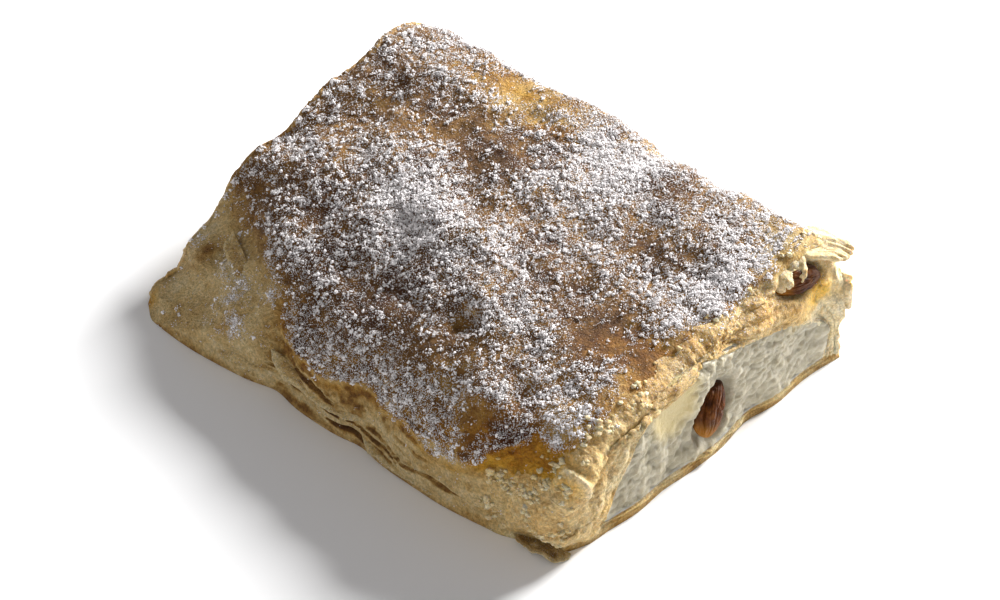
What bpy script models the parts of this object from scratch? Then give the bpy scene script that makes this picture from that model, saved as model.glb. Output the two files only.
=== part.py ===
"""
Cheese strudel: a piece cut from a baked log, lying on its foot.

A wrapped sheet of pastry makes one tube: thick and folded along the front, thin at the back
and under the foot. The curd filling runs through it from cut to cut. One raisin is pressed
into the filling at the cut, and another lies in the fold above it.

Metres, +Z up. +X runs along the log to the torn cut, -Y is the folded long side, and the
origin is in the middle of the foot, on the surface that the piece lies on.
"""
import bmesh
import bpy
import numpy as np

MM = 0.001

# ---------------------------------------------------------------- driving dimensions
LENGTH = 118.4 * MM          # from cut to cut, with the flakes that stand out of the cuts
WIDTH = 90.8 * MM            # from long side to long side, over the widest bulge
CUT_X = 57.4 * MM            # the mean plane of each cut
SIDE_Y = 43.2 * MM           # the mean plane of each long side
GAP = 0.3 * MM               # between touching pieces

# The crown at the far cut, in the middle and at the near cut.
CROWN_HEIGHT = (26.2 * MM, 29.6 * MM, 28.6 * MM)      # at the log's centre line
CROWN_TILT = (0.20, 0.100, 0.115)                     # rise towards the back
CROWN_TILT_END = (30 * MM, 30 * MM, 44 * MM)          # where the rise stops
FRONT_POWERS = ((3.0, 2.3), (3.0, 2.6), (7.0, 4.0))   # superellipse of the front shoulder
BACK_POWERS = ((11.0, 5.0), (14.0, 5.0), (14.0, 5.0))  # and of the back shoulder

# The pressed-down front corner at the far cut is a flat facet.
RAMP_START = 0.2 * MM
RAMP_SLOPE_Y = 0.677
RAMP_SLOPE_X = 0.38
RAMP_SOFTNESS = 1.5 * MM

# Hills and hollows of the crust: x, y, radius along x, radius along y, height.
CRUST_BUMPS = (
    (-27 * MM, 2 * MM, 12 * MM, 6 * MM, 1.5 * MM),
    (-6 * MM, -5 * MM, 13 * MM, 5 * MM, 1.7 * MM),
    (18 * MM, -13 * MM, 12 * MM, 6 * MM, 1.6 * MM),
    (-7 * MM, -22 * MM, 14 * MM, 5 * MM, -1.8 * MM),
    (15 * MM, -22 * MM, 3.2 * MM, 3 * MM, -2.2 * MM),
    (-43 * MM, 12 * MM, 4 * MM, 8 * MM, -1.3 * MM),
    (-48 * MM, 26 * MM, 7 * MM, 11 * MM, 1.6 * MM),
    (-57 * MM, -6 * MM, 8 * MM, 5 * MM, -1.8 * MM),
    (-8 * MM, 40 * MM, 12 * MM, 7 * MM, 2.1 * MM),
    (12 * MM, 38 * MM, 7 * MM, 8 * MM, -2.0 * MM),
    (-57 * MM, 42 * MM, 5 * MM, 6 * MM, -2.6 * MM),
    (-37 * MM, 40 * MM, 7 * MM, 7 * MM, 2.2 * MM),
    (35 * MM, 41 * MM, 9 * MM, 5 * MM, 0.9 * MM),
    (-20 * MM, 31 * MM, 12 * MM, 7 * MM, -0.8 * MM),
    (33 * MM, -34 * MM, 8 * MM, 4 * MM, 1.2 * MM),
    (51 * MM, -38 * MM, 5 * MM, 6 * MM, -3.0 * MM),
    (37 * MM, 6 * MM, 9 * MM, 9 * MM, -1.0 * MM),
    (40 * MM, 26 * MM, 12 * MM, 8 * MM, 1.0 * MM),
)
CRUMPLES = ((17 * MM, 0.55 * MM, 5), (8 * MM, 0.32 * MM, 8))  # the crust's waves: length, height, seed

# The front side's bulges and waists (x, radius, height) and rounded corners (from x, to x, depth).
FRONT_BULGES = ((-43 * MM, 17 * MM, 2.1 * MM), (-18 * MM, 5 * MM, -1.4 * MM), (7 * MM, 5 * MM, -1.1 * MM))
FRONT_CORNERS = ((28 * MM, 50 * MM, 2.2 * MM), (48 * MM, 60 * MM, 1.6 * MM), (-53 * MM, -59 * MM, 3.0 * MM))
UNDERCUT = 3.4 * MM          # the near front corner is tucked in above its loose bottom leaf
UNDERCUT_TOP = 6 * MM

# The front side's upright tuck (x, radius, height), the edge of its bottom leaf, and the facet's pits.
TUCK = ((-25 * MM, 2.0 * MM, 1.3 * MM), (-20.5 * MM, 2.4 * MM, -1.1 * MM))
LEAF_EDGE = (6.5 * MM, 1.2 * MM, 8 * MM)     # height, waviness and wavelength over 2 pi
LEAF_STEP = 0.8 * MM
PITS = ((-47 * MM, -28 * MM, 3 * MM, 4 * MM, -1.6 * MM), (-58 * MM, -34.5 * MM, 4.5 * MM, 5 * MM, -1.5 * MM))

# The tunnel for the filling: a slanted front wall, a lowered back top corner.
TUNNEL_FLOOR = 2.3 * MM
TUNNEL_FRONT = (-13.5 * MM, -20.5 * MM)               # at the far cut and at the near cut
TUNNEL_BACK = (38.5 * MM, 40.8 * MM)
TUNNEL_LEAN = 7.6 * MM
TUNNEL_TOP_FAR = (15.0 * MM, 19.0 * MM, 14.5 * MM)    # at its front, middle and back
TUNNEL_TOP_NEAR = (25.8 * MM, 23.6 * MM, 14.5 * MM)
TUNNEL_POWERS = (16.0, 4.5)                           # of its foot corners and of its top corners

RING_TOP = 42                # points of a section over the sides and the crown
RING_FOOT = 16               # points of a section along the foot
RING_SIDE = 12               # steps of a section up each side, of its RING_TOP - 1
SKIN_RINGS = 37              # sections along the skin
TUNNEL_RINGS = 10            # sections along the tunnel
TEAR_RINGS = 4               # rings across a cut, between skin and tunnel

# The near cut: how far the crust above the filling has broken back (heights from and to, depth),
# its notch (y, radius, depth), and how far its foot stands out (y, width, depth).
CUT_BREAK = (22 * MM, 29.5 * MM, 3.0 * MM)
CUT_NOTCH = (17 * MM, 5 * MM, 1.6 * MM)
CUT_FOOT_WAVES = (
    (-21 * MM, 7 * MM, 1.2 * MM),
    (-4 * MM, 5 * MM, 0.9 * MM),
    (18 * MM, 5 * MM, -0.8 * MM),
    (41 * MM, 5 * MM, -0.6 * MM),
)

CUT_FOOT_HEIGHT = 9 * MM
FAR_BREAK = (19 * MM, 27 * MM, 1.2 * MM)     # the same for the far cut

# Lumps of the torn wall at the near cut: y, z, radius along y, radius along z, depth.
TEAR_LUMPS = (
    (23 * MM, 27 * MM, 7 * MM, 3 * MM, 1.6 * MM),
    (-29 * MM, 12 * MM, 3 * MM, 5 * MM, 1.2 * MM),
)

# Leaves that stand out of the cuts and the long sides: root, reach, span, curl, raggedness (mm).
LEAF_THICKNESS = 0.7 * MM
LEAVES = {
    "corner_flap": ((50.0, -36.5, 0.5), (2.2, -4.6, 0), (13.5, 1.5, 0), (0, 0, 0.3), 0.04),
    "upper_lobe": ((51, 40, 29.9), (7.0, 4.6, 0.2), (-4, 7, -1), (0.3, 0.3, -1.2), 0.10),
    "lower_lobe": ((52.5, 41.5, 17.3), (6.8, 4.2, 0.6), (-1.0, 1.5, 9.0), (0.8, 0.4, 0), 0.10),
    "fold_lip": ((51.5, 20, 24.6), (5.6, -0.5, -1.6), (0.5, 14, 0.5), (0, 0, 0.8), 0.10),
    "front_curl": ((53, -30.5, 13), (4.6, -2.5, 0), (0.5, 1.5, 10), (0, 2.0, 0), 0.08),
    "low_curl": ((53, -31.8, 5.0), (5, -0.5, 0.5), (0, 6.4, 1.5), (0, 0, 1.4), 0.15),
    "far_leaf_high": ((-53, 12, 24.0), (-6.6, 1, -0.8), (0, 15, 0.5), (0, 0, 0.6), 0.10),
    "far_leaf_low": ((-53, -26, 6.0), (-6.2, -1, 0.4), (0, 9, 3), (0, 0, 0.8), 0.10),
    "side_leaf": ((-8, -40.5, 8.6), (2, -3.6, -1.0), (27, 0, -1), (0, 0, -0.6), 0.06),
    "foot_leaf": ((17, -39, 2.6), (0, -4.6, -0.8), (26, 0, -0.5), (0, 0, -0.4), 0.05),
    "back_leaf": ((10, 40.5, 9.0), (0, 3.8, -1.2), (-30, 0, 1), (0, 0, -0.5), 0.06),
}

# Slits between the leaves of the long sides: start, end, depth, half height (mm).
SLITS = {
    "slit_front_high": ((-17, -43.5, 7.8), (1, -43.5, 5.2), (0, 3.0, 0.5), (0, 0, 0.9)),
    "slit_front_low": ((-4, -43.5, 2.9), (11, -43.5, 2.0), (0, 2.6, 0.3), (0, 0, 0.5)),
    "slit_back": ((-12, 43.6, 6.0), (9, 43.6, 7.6), (0, -2.6, 0.4), (0, 0, 0.8)),
}

# The raisins: centre (mm), turn of the long axis about X from +Y and its lean (degrees), seed.
RAISIN_LENGTH = 12.0 * MM
RAISIN_WIDTH = 6.6 * MM
POCKET_GAP = 1.6 * GAP
RAISINS = {
    "raisin_lower": ((56.2, 6.1, 10.5), (57, 10), 3),
    "raisin_upper": ((54.6, 32.6, 25.7), (-8, -10), 4),
}


# ---------------------------------------------------------------- shape functions
def smoothstep(low, high, value):
    """0 below low, 1 above high, and an S curve between them."""
    t = np.clip((value - low) / (high - low), 0.0, 1.0)
    return t * t * (3.0 - 2.0 * t)


def along(e, values):
    """The quadratic through three values, at e = -1, 0 and 1."""
    far, middle, near = values
    return middle + e * (near - far) / 2 + e * e * ((near + far) / 2 - middle)


def crumple(x, y, z, wavelength, seed):
    """Nine sine waves in seeded directions and lengths, added up to about -1 to 1."""
    rng = np.random.default_rng(seed)
    total = 0.0
    for _ in range(9):
        direction = rng.normal(size=3)
        direction /= np.linalg.norm(direction) * wavelength * rng.uniform(0.7, 1.5)
        total = total + np.sin(2 * np.pi * (x * direction[0] + y * direction[1] + z * direction[2]
                                            + rng.uniform()))
    return total / 4.0


def hill(x, y, bump):
    """A bell-shaped hill or hollow."""
    cx, cy, rx, ry, height = bump
    return height * np.exp(-((x - cx) / rx) ** 2 - ((y - cy) / ry) ** 2)


def ridge(x, wave):
    """A bell-shaped ridge or valley along one direction."""
    centre, radius, height = wave
    return height * np.exp(-((x - centre) / radius) ** 2)


def front_side(x):
    """How far the front side stands out: a bulge at the far end, a rounded near corner."""
    bulges = sum(ridge(x, bulge) for bulge in FRONT_BULGES)
    corners = sum(depth * smoothstep(start, end, x) for start, end, depth in FRONT_CORNERS)
    return SIDE_Y + bulges - corners


def back_side(x):
    """How far the back side stands out."""
    return SIDE_Y + 1.2 * MM + 0.4 * MM * np.sin(x / (9 * MM) + 1.0)


def crust_height(x, y, front, back):
    """The crown's tilted plane, let down to the foot at both sides by superellipses."""
    e = x / CUT_X
    tilt_end = along(e, CROWN_TILT_END)
    crown = along(e, CROWN_HEIGHT) + along(e, CROWN_TILT) * np.minimum(y, tilt_end)
    for bump in CRUST_BUMPS:
        crown = crown + hill(x, y, bump)
    span = np.where(y < 0, front, back)
    t = np.clip(np.abs(y) / span, 0.0, 1.0)
    n_front, m_front = (along(e, [powers[k] for powers in FRONT_POWERS]) for k in (0, 1))
    n_back, m_back = (along(e, [powers[k] for powers in BACK_POWERS]) for k in (0, 1))
    n = np.where(y < 0, n_front, n_back)
    m = np.where(y < 0, m_front, m_back)
    dome = crown * (1 - t ** n) ** (1 / m)
    ramp = RAMP_START + RAMP_SLOPE_Y * (y + SIDE_Y - 1.4 * MM) + RAMP_SLOPE_X * (x + CUT_X)
    ramp = np.maximum(ramp, 0.0) + dome * 0.04
    mix = np.clip(0.5 + 0.5 * (ramp - dome) / RAMP_SOFTNESS, 0.0, 1.0)
    return dome * mix + ramp * (1 - mix) - RAMP_SOFTNESS / 2 * mix * (1 - mix)


def section(x):
    """The skin's outline at x: over the top from front to back, then along the foot."""
    front = front_side(x)
    back = back_side(x)
    angle = np.linspace(0, np.pi, 900)
    swing = -np.cos(angle)
    y = np.sign(swing) * np.abs(swing) ** 0.35 * np.where(swing < 0, front, back)
    z = crust_height(x, y, front, back)
    z[[0, -1]] = 0.0
    tucked = UNDERCUT * smoothstep(44 * MM, 55 * MM, x) * smoothstep(UNDERCUT_TOP, 1 * MM, z)
    y = np.where(y < 0, y + tucked * smoothstep(-20 * MM, -40 * MM, y), y)
    steps = np.hypot(np.diff(y), np.diff(z)) * np.interp(z[1:], (0, 20 * MM), (1.6, 1.0))
    path = np.concatenate(([0.0], np.cumsum(steps)))
    even = np.linspace(0, path[-1], RING_TOP)
    foot = np.linspace(y[-1], y[0], RING_FOOT + 2)[1:-1]
    return (np.concatenate((np.interp(even, path, y), foot)),
            np.concatenate((np.interp(even, path, z), np.zeros(RING_FOOT))))


def tunnel_section(t, shrink):
    """The filling's outline: a superellipse with a slanted front and a falling top."""
    front = np.interp(t, (0, 1), TUNNEL_FRONT) + shrink
    back = np.interp(t, (0, 1), TUNNEL_BACK) - shrink
    middle = (front + back) / 2
    half = (back - front) / 2
    angle = np.linspace(np.pi * 1.25, -np.pi * 0.25, 900)
    power = np.where(np.sin(angle) < 0, *TUNNEL_POWERS)
    p = np.sign(np.cos(angle)) * np.abs(np.cos(angle)) ** (2 / power)
    q = np.sign(np.sin(angle)) * np.abs(np.sin(angle)) ** (2 / power)
    floor = TUNNEL_FLOOR + shrink
    top = along(p, TUNNEL_TOP_FAR) * (1 - t) + along(p, TUNNEL_TOP_NEAR) * t - shrink
    y = middle + half * p + TUNNEL_LEAN * (1 - p) / 2 * q
    z = (floor + top) / 2 + (top - floor) / 2 * q
    path = np.concatenate(([0.0], np.cumsum(np.hypot(np.diff(y), np.diff(z)))))
    even = np.linspace(0, path[-1], RING_TOP)
    ring_y = np.interp(even, path, y)
    ring_z = np.interp(even, path, z)
    foot = np.linspace(0, 1, RING_FOOT + 2)[1:-1]
    return (np.concatenate((ring_y, ring_y[-1] + foot * (ring_y[0] - ring_y[-1]))),
            np.concatenate((ring_z, ring_z[-1] + foot * (ring_z[0] - ring_z[-1]))))


def near_cut(y, z):
    """Where the near cut lies: the crust has broken away above the filling."""
    start, end, depth = CUT_BREAK
    broken = depth * smoothstep(start, end, z) + ridge(y, CUT_NOTCH) * smoothstep(start, end, z) ** 2
    wave = 0.4 * MM * np.sin(y / (3.1 * MM)) + 0.3 * MM * np.sin(y / (7.7 * MM) + 1.0)
    for middle, width, height in CUT_FOOT_WAVES:
        wave = wave + hill(y, z, (middle, 0.0, width, CUT_FOOT_HEIGHT, height))
    tucked = 0.8 * UNDERCUT * smoothstep(-29 * MM, -38 * MM, y) * smoothstep(UNDERCUT_TOP, 1 * MM, z)
    return CUT_X - broken - tucked + wave * smoothstep(end, 4 * MM, z)


def far_cut(y, z):
    """Where the far cut lies: nearly flat, as the knife left it."""
    start, end, depth = FAR_BREAK
    wave = 0.5 * MM * np.sin(y / (3.7 * MM) + 2.0)
    return -CUT_X + depth * smoothstep(start, end, z) + wave


def skin_relief(x, y, z):
    """Waves of the crust, leaves of the folded sides, and the tuck at the front."""
    relief = sum(height * crumple(x, y, z, length, seed) for length, height, seed in CRUMPLES)
    on_front = smoothstep(-34 * MM, -41 * MM, y)
    tuck = sum(ridge(x, wave) for wave in TUCK)
    tuck = tuck * smoothstep(5 * MM, 9 * MM, z) * smoothstep(21 * MM, 15 * MM, z)
    height, waviness, wavelength = LEAF_EDGE
    above_edge = z - height - waviness * np.sin(x / wavelength)
    overlap = LEAF_STEP * (smoothstep(-0.9 * MM, 0.9 * MM, above_edge) - 0.5)
    overlap = overlap * smoothstep(-24 * MM, -14 * MM, x)
    pits = sum(hill(x, y, pit) for pit in PITS) * smoothstep(2 * MM, 5 * MM, z)
    relief = relief + on_front * (tuck + overlap) + pits
    return relief * smoothstep(0.0, 2.5 * MM, z)


def normals(grid):
    """Unit normals of a grid of rings, closed around each ring."""
    wrapped = np.concatenate((grid[:, -1:], grid, grid[:, :1]), axis=1)
    around = wrapped[:, 2:] - wrapped[:, :-2]
    forward = np.gradient(grid, axis=0)
    normal = np.cross(forward, around)
    return normal / np.maximum(np.linalg.norm(normal, axis=2, keepdims=True), 1e-12)


def keep_in_box(points):
    """Nothing stands out of the stated length and width, or below the foot."""
    points[..., 0] = np.clip(points[..., 0], -LENGTH / 2, LENGTH / 2)
    points[..., 1] = np.clip(points[..., 1], -WIDTH / 2, WIDTH / 2)
    points[..., 2] = np.maximum(points[..., 2], 0.0)
    return points


def placed(y, z, t):
    """A section's points at fraction t of the way from the far cut to the near one."""
    x = far_cut(y, z) * (1 - t) + near_cut(y, z) * t
    return np.stack((x, y, z), axis=-1)


def tear(outer, inner, direction):
    """Rings across a cut: the leaves of the wall step out and in by about a millimetre."""
    rings = []
    for fraction in np.linspace(0, 1, TEAR_RINGS + 2)[1:-1]:
        ring = outer * (1 - fraction) + inner * fraction
        x, y, z = ring.T
        cut = near_cut(y, z) if direction > 0 else far_cut(y, z)
        depth = 0.9 * MM * crumple(x, y, z, 7 * MM, 31) + 0.5 * MM * np.sin(6 * np.pi * fraction)
        if direction > 0:
            depth = depth + sum(hill(y, z, lump) for lump in TEAR_LUMPS)
        ring[:, 0] = cut + direction * depth * smoothstep(0.8 * MM, 3 * MM, z)
        rings.append(ring)
    return rings


# ---------------------------------------------------------------- meshes and materials
def material(name, colour, roughness, subsurface):
    made = bpy.data.materials.new(name)
    made.use_nodes = True
    shader = made.node_tree.nodes["Principled BSDF"]
    shader.inputs["Base Color"].default_value = (*colour, 1.0)
    shader.inputs["Roughness"].default_value = roughness
    shader.inputs["Metallic"].default_value = 0.0
    shader.inputs["Subsurface Weight"].default_value = subsurface
    made.diffuse_color = (*colour, 1.0)
    return made


def mesh_object(name, points, faces, collection, finish=None):
    """An object from an array of points and a list of faces, turned to face outwards."""
    mesh = bpy.data.meshes.new(name)
    mesh.from_pydata(points.reshape(-1, 3).tolist(), [], faces)
    shape = bmesh.new()
    shape.from_mesh(mesh)
    bmesh.ops.recalc_face_normals(shape, faces=shape.faces)
    bmesh.ops.triangulate(shape, faces=shape.faces)
    shape.to_mesh(mesh)
    shape.free()
    mesh.shade_smooth()
    made = bpy.data.objects.new(name, mesh)
    if finish:
        mesh.materials.append(finish)
    collection.objects.link(made)
    return made


def ring_faces(count, around, closed):
    """Quads between rings of points; closed also joins the last ring to the first."""
    faces = []
    for i in range(count if closed else count - 1):
        first = i * around
        second = (i + 1) % count * around
        for j in range(around):
            k = (j + 1) % around
            faces.append((first + k, first + j, second + j, second + k))
    return faces


def collection_named(name):
    made = bpy.data.collections.new(name)
    bpy.context.scene.collection.children.link(made)
    return made


def apply_boolean(target, operation, operands):
    """Joins or cuts with a whole collection, then removes the collection's objects."""
    modifier = target.modifiers.new(operation.title(), "BOOLEAN")
    modifier.operation = operation
    modifier.operand_type = "COLLECTION"
    modifier.collection = operands
    modifier.solver = "MANIFOLD"
    bpy.context.view_layer.objects.active = target
    bpy.ops.object.modifier_apply(modifier=modifier.name)
    for item in list(operands.objects):
        bpy.data.objects.remove(item)
    shape = bmesh.new()
    shape.from_mesh(target.data)
    bmesh.ops.triangulate(shape, faces=shape.faces)
    shape.to_mesh(target.data)
    shape.free()


# ---------------------------------------------------------------- the pieces
def make_pastry(parts):
    """The wrapper: skin, near cut, tunnel and far cut are one closed run of rings."""
    skin = []
    for t in np.linspace(0, 1, SKIN_RINGS):
        y, z = section((2 * t - 1) * CUT_X)
        skin.append(placed(y, z, t))
    skin = np.array(skin)
    x, y, z = np.moveaxis(skin, -1, 0)
    skin = keep_in_box(skin + normals(skin) * skin_relief(x, y, z)[..., None])
    skin[:, RING_TOP:, 2] = 0.0
    tunnel = [placed(*tunnel_section(t, 0.0), t) for t in np.linspace(1, 0, TUNNEL_RINGS)]
    rings = list(skin) + tear(skin[-1], tunnel[0], 1) + tunnel
    rings += tear(skin[0], tunnel[-1], -1)[::-1]
    around = RING_TOP + RING_FOOT
    dough = material("baked_pastry", (0.50, 0.34, 0.13), 0.55, 0.1)
    points = keep_in_box(np.array(rings))
    return mesh_object("pastry", points, ring_faces(len(rings), around, True), parts, dough)


def make_leaf(name, root, reach, span, curl, ragged, seed, collection):
    """
    A thin leaf of pastry: it runs from its root along reach, is as wide as span, curls by
    curl at its tip, and ends in a ragged edge.
    """
    root, reach, span, curl = (np.array(v) * MM for v in (root, reach, span, curl))
    rng = np.random.default_rng(seed)
    u, v = np.meshgrid(np.linspace(0, 1, 5), np.linspace(-1, 1, 9), indexing="ij")
    edge = 1 + ragged * rng.uniform(-1, 1, 9)
    width = 0.5 * (1 - 0.35 * u ** 2)
    wave = 0.35 * MM * np.sin(5 * v + rng.uniform(0, 6)) * (0.3 + u)
    lift = u ** 2
    normal = np.cross(reach, span)
    normal /= np.linalg.norm(normal)
    points = (root + (u * edge)[..., None] * reach + (v * width)[..., None] * span
              + lift[..., None] * curl + wave[..., None] * normal)
    faces = [(i * 9 + j, i * 9 + j + 1, (i + 1) * 9 + j + 1, (i + 1) * 9 + j)
             for i in range(4) for j in range(8)]
    points = np.clip(points, (-LENGTH / 2 + 0.4 * MM, -WIDTH / 2 + 0.4 * MM, 0.35 * MM),
                     (LENGTH / 2 - 0.4 * MM, WIDTH / 2 - 0.4 * MM, 1.0))
    leaf = mesh_object(name, points, faces, collection)
    shell = leaf.modifiers.new("Thickness", "SOLIDIFY")
    shell.thickness = LEAF_THICKNESS
    shell.offset = 0.0
    return leaf


def add_leaves(pastry):
    """Leaves that stand out of the cuts and the front side, fused to the pastry."""
    leaves = collection_named("leaves")
    for seed, (name, shape) in enumerate(LEAVES.items()):
        make_leaf(name, *shape, seed, leaves)
    apply_boolean(pastry, "UNION", leaves)
    bpy.data.collections.remove(leaves)


def add_slit(name, start, end, depth, width, cutters):
    """A wedge-shaped cutter between two points of a long side."""
    start, end, depth, width = (np.array(v) * MM for v in (start, end, depth, width))
    steps = np.linspace(0, 1, 7)
    points = []
    for t in steps:
        centre = start * (1 - t) + end * t
        half = width * np.sin(np.pi * (0.06 + 0.88 * t))
        points += [centre - depth, centre - half, centre + depth * 0.9, centre + half]
    last = 4 * (len(steps) - 1)
    faces = ring_faces(len(steps), 4, False)
    faces += [(0, 1, 2, 3), (last + 3, last + 2, last + 1, last)]
    slit = mesh_object(name, np.array(points), faces, cutters)
    slit.hide_render = True
    slit.display_type = "WIRE"


def make_raisin(name, centre, turn, seed, collection, grow=0.0, finish=None):
    """
    A dried grape: an ellipsoid with long wrinkles, pinched where its stalk was. turn holds
    the rotation about X of its long axis, from +Y, and the lean of that axis out of the cut.
    """
    rows, around = 12, 20
    latitude, longitude = np.meshgrid(np.linspace(0, np.pi, rows + 1)[1:-1],
                                      np.linspace(0, 2 * np.pi, around, endpoint=False), indexing="ij")
    rng = np.random.default_rng(seed)
    phase = rng.uniform(0, 6, 3)
    wrinkle = (0.075 * np.sin(4 * longitude + 1.5 * np.cos(2 * latitude) + phase[0])
               + 0.055 * np.sin(7 * longitude - 2.0 * latitude + phase[1]))
    radius = (1 + wrinkle) * (1 - 0.10 * np.cos(latitude))
    bend = 0.12 * RAISIN_LENGTH * np.sin(latitude)
    points = np.stack((radius * np.sin(latitude) * np.cos(longitude) * (RAISIN_WIDTH * 0.42 + grow),
                       np.cos(latitude) * (RAISIN_LENGTH / 2 + grow),
                       radius * np.sin(latitude) * np.sin(longitude) * (RAISIN_WIDTH * 0.5 + grow) + bend),
                      axis=-1).reshape(-1, 3)
    poles = np.array([[0, RAISIN_LENGTH / 2 + grow, 0], [0, -RAISIN_LENGTH / 2 - grow, 0]])
    points = np.concatenate((points, poles * (0.97, 0.97, 0.97)))
    roll, lean = np.radians(turn)
    about_x = np.array([[1, 0, 0], [0, np.cos(roll), -np.sin(roll)], [0, np.sin(roll), np.cos(roll)]])
    about_z = np.array([[np.cos(lean), -np.sin(lean), 0], [np.sin(lean), np.cos(lean), 0], [0, 0, 1]])
    points = points @ about_z.T @ about_x.T + np.array(centre) * MM
    faces = ring_faces(rows - 1, around, False)
    top = (rows - 1) * around
    last = (rows - 2) * around
    for j in range(around):
        k = (j + 1) % around
        faces.append((top, j, k))
        faces.append((last + k, last + j, top + 1))
    return mesh_object(name, points, faces, collection, finish)


def end_patch(ring, first, start):
    """
    A patch across a ring, blended between its four sides: side to side plus foot to top,
    less the blend of the four corners. first is the ring's first point, and start the
    patch's. Returns the inner points and the faces.
    """
    count = len(ring)
    turn = RING_TOP - 1 - RING_SIDE
    left = np.arange(0, RING_SIDE + 1)
    top = np.arange(RING_SIDE, turn + 1)
    right = np.arange(RING_TOP - 1, turn - 1, -1)
    foot = np.arange(count, RING_TOP - 2, -1) % count
    u = np.linspace(0, 1, len(top))[None, :, None]
    v = np.linspace(0, 1, len(left))[:, None, None]
    across = ring[left][:, None] * (1 - u) + ring[right][:, None] * u
    upward = ring[foot][None] * (1 - v) + ring[top][None] * v
    low = ring[foot[0]] * (1 - u) + ring[foot[-1]] * u
    high = ring[top[0]] * (1 - u) + ring[top[-1]] * u
    points = across + upward - low * (1 - v) - high * v
    index = np.zeros(points.shape[:2], int)
    index[:, 0], index[:, -1], index[0], index[-1] = (first + side for side in (left, right, foot, top))
    inner = points[1:-1, 1:-1].reshape(-1, 3)
    index[1:-1, 1:-1] = start + np.arange(len(inner)).reshape(index[1:-1, 1:-1].shape)
    corners = (index[:-1, :-1], index[:-1, 1:], index[1:, 1:], index[1:, :-1])
    return inner, np.stack(corners, axis=-1).reshape(-1, 4).tolist()


def make_filling(parts):
    """The curd: it fills the tunnel, with lumpy ends where the knife went through."""
    rings = [placed(*tunnel_section(t, GAP), t) for t in np.linspace(0, 1, TUNNEL_RINGS)]
    around = RING_TOP + RING_FOOT
    points = list(np.array(rings).reshape(-1, 3))
    faces = ring_faces(len(rings), around, False)
    for direction, k in ((-1, 0), (1, len(rings) - 1)):
        inner, patch = end_patch(rings[k], k * around, len(points))
        x, y, z = inner.T
        x = far_cut(y, z) if direction < 0 else near_cut(y, z)
        lumps = 0.8 * crumple(x, y, z, 7 * MM, 17) - 0.3
        inner[:, 0] = x + direction * lumps * MM
        points.extend(inner)
        faces.extend(patch)
    curd = material("curd", (0.74, 0.71, 0.55), 0.5, 0.2)
    return mesh_object("curd_filling", keep_in_box(np.array(points)), faces, parts, curd)


def main():
    for item in list(bpy.data.objects):
        bpy.data.objects.remove(item)
    parts = collection_named("cheese_strudel")
    cutters = collection_named("cutters")
    skin = material("raisin_skin", (0.085, 0.022, 0.009), 0.42, 0.0)

    pastry = make_pastry(parts)
    add_leaves(pastry)
    for name, shape in SLITS.items():
        add_slit(name, *shape, cutters)
    for name, shape in RAISINS.items():
        make_raisin(name, *shape, cutters, grow=POCKET_GAP)
    apply_boolean(pastry, "DIFFERENCE", cutters)

    filling = make_filling(parts)
    for name, shape in RAISINS.items():
        make_raisin(name, *shape, cutters, grow=POCKET_GAP)
    apply_boolean(filling, "DIFFERENCE", cutters)
    bpy.data.collections.remove(cutters)

    for name, shape in RAISINS.items():
        make_raisin(name, *shape, parts, finish=skin)


main()
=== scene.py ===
"""
Cheese strudel, dressed: a cut piece of baked, sugared strudel with a curd filling and two raisins.

The file goes piece by piece: the table and light, the pastry wrapper, the crumbly dough and the
loose leaves of its cuts and sides, the curd, the raisins, and the sugar and crumbs that lie on
them. The scene is in metres, +Z up; sizes are millimetres until piece() makes a mesh.
"""

import bpy
import numpy as np
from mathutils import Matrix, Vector


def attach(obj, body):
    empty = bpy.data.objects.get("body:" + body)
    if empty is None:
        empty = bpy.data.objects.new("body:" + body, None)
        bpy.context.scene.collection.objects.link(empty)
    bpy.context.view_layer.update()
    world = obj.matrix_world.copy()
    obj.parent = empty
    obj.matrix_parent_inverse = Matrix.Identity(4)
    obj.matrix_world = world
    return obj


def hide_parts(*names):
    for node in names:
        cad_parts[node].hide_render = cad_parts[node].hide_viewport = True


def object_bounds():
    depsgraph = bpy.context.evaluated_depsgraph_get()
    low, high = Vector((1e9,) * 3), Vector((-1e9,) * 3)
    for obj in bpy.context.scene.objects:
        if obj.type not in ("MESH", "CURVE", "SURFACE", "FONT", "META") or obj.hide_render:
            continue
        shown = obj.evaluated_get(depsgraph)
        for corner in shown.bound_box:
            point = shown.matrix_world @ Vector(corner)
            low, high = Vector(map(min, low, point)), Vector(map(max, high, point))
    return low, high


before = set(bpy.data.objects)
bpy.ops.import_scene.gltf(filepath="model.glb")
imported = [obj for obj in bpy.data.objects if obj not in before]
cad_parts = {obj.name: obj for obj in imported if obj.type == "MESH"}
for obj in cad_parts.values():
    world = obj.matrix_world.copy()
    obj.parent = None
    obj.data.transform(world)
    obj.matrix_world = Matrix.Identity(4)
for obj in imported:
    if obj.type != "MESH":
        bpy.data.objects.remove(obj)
cad_box = [list(corner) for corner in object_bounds()]
MM = 0.001

# ------------------------ table, light and camera
# A plain white table under a large soft window light from behind on the right, with pale
# room light all round. The camera looks down on the long side and the torn cut.
bpy.ops.mesh.primitive_plane_add(size=6.0)
table = bpy.context.object
table.name = "table"
table_finish = bpy.data.materials.new("white_table")
table_finish.use_nodes = True
table_shader = table_finish.node_tree.nodes["Principled BSDF"]
table_shader.inputs["Base Color"].default_value = (0.93, 0.93, 0.93, 1)
table_shader.inputs["Roughness"].default_value = 0.8
table.data.materials.append(table_finish)

world = bpy.data.worlds.new("room")
world.use_nodes = True
world.node_tree.nodes["Background"].inputs["Color"].default_value = (1.0, 0.98, 0.99, 1)
world.node_tree.nodes["Background"].inputs["Strength"].default_value = 0.27
bpy.context.scene.world = world
bpy.context.scene.view_settings.view_transform = "Standard"


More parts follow.
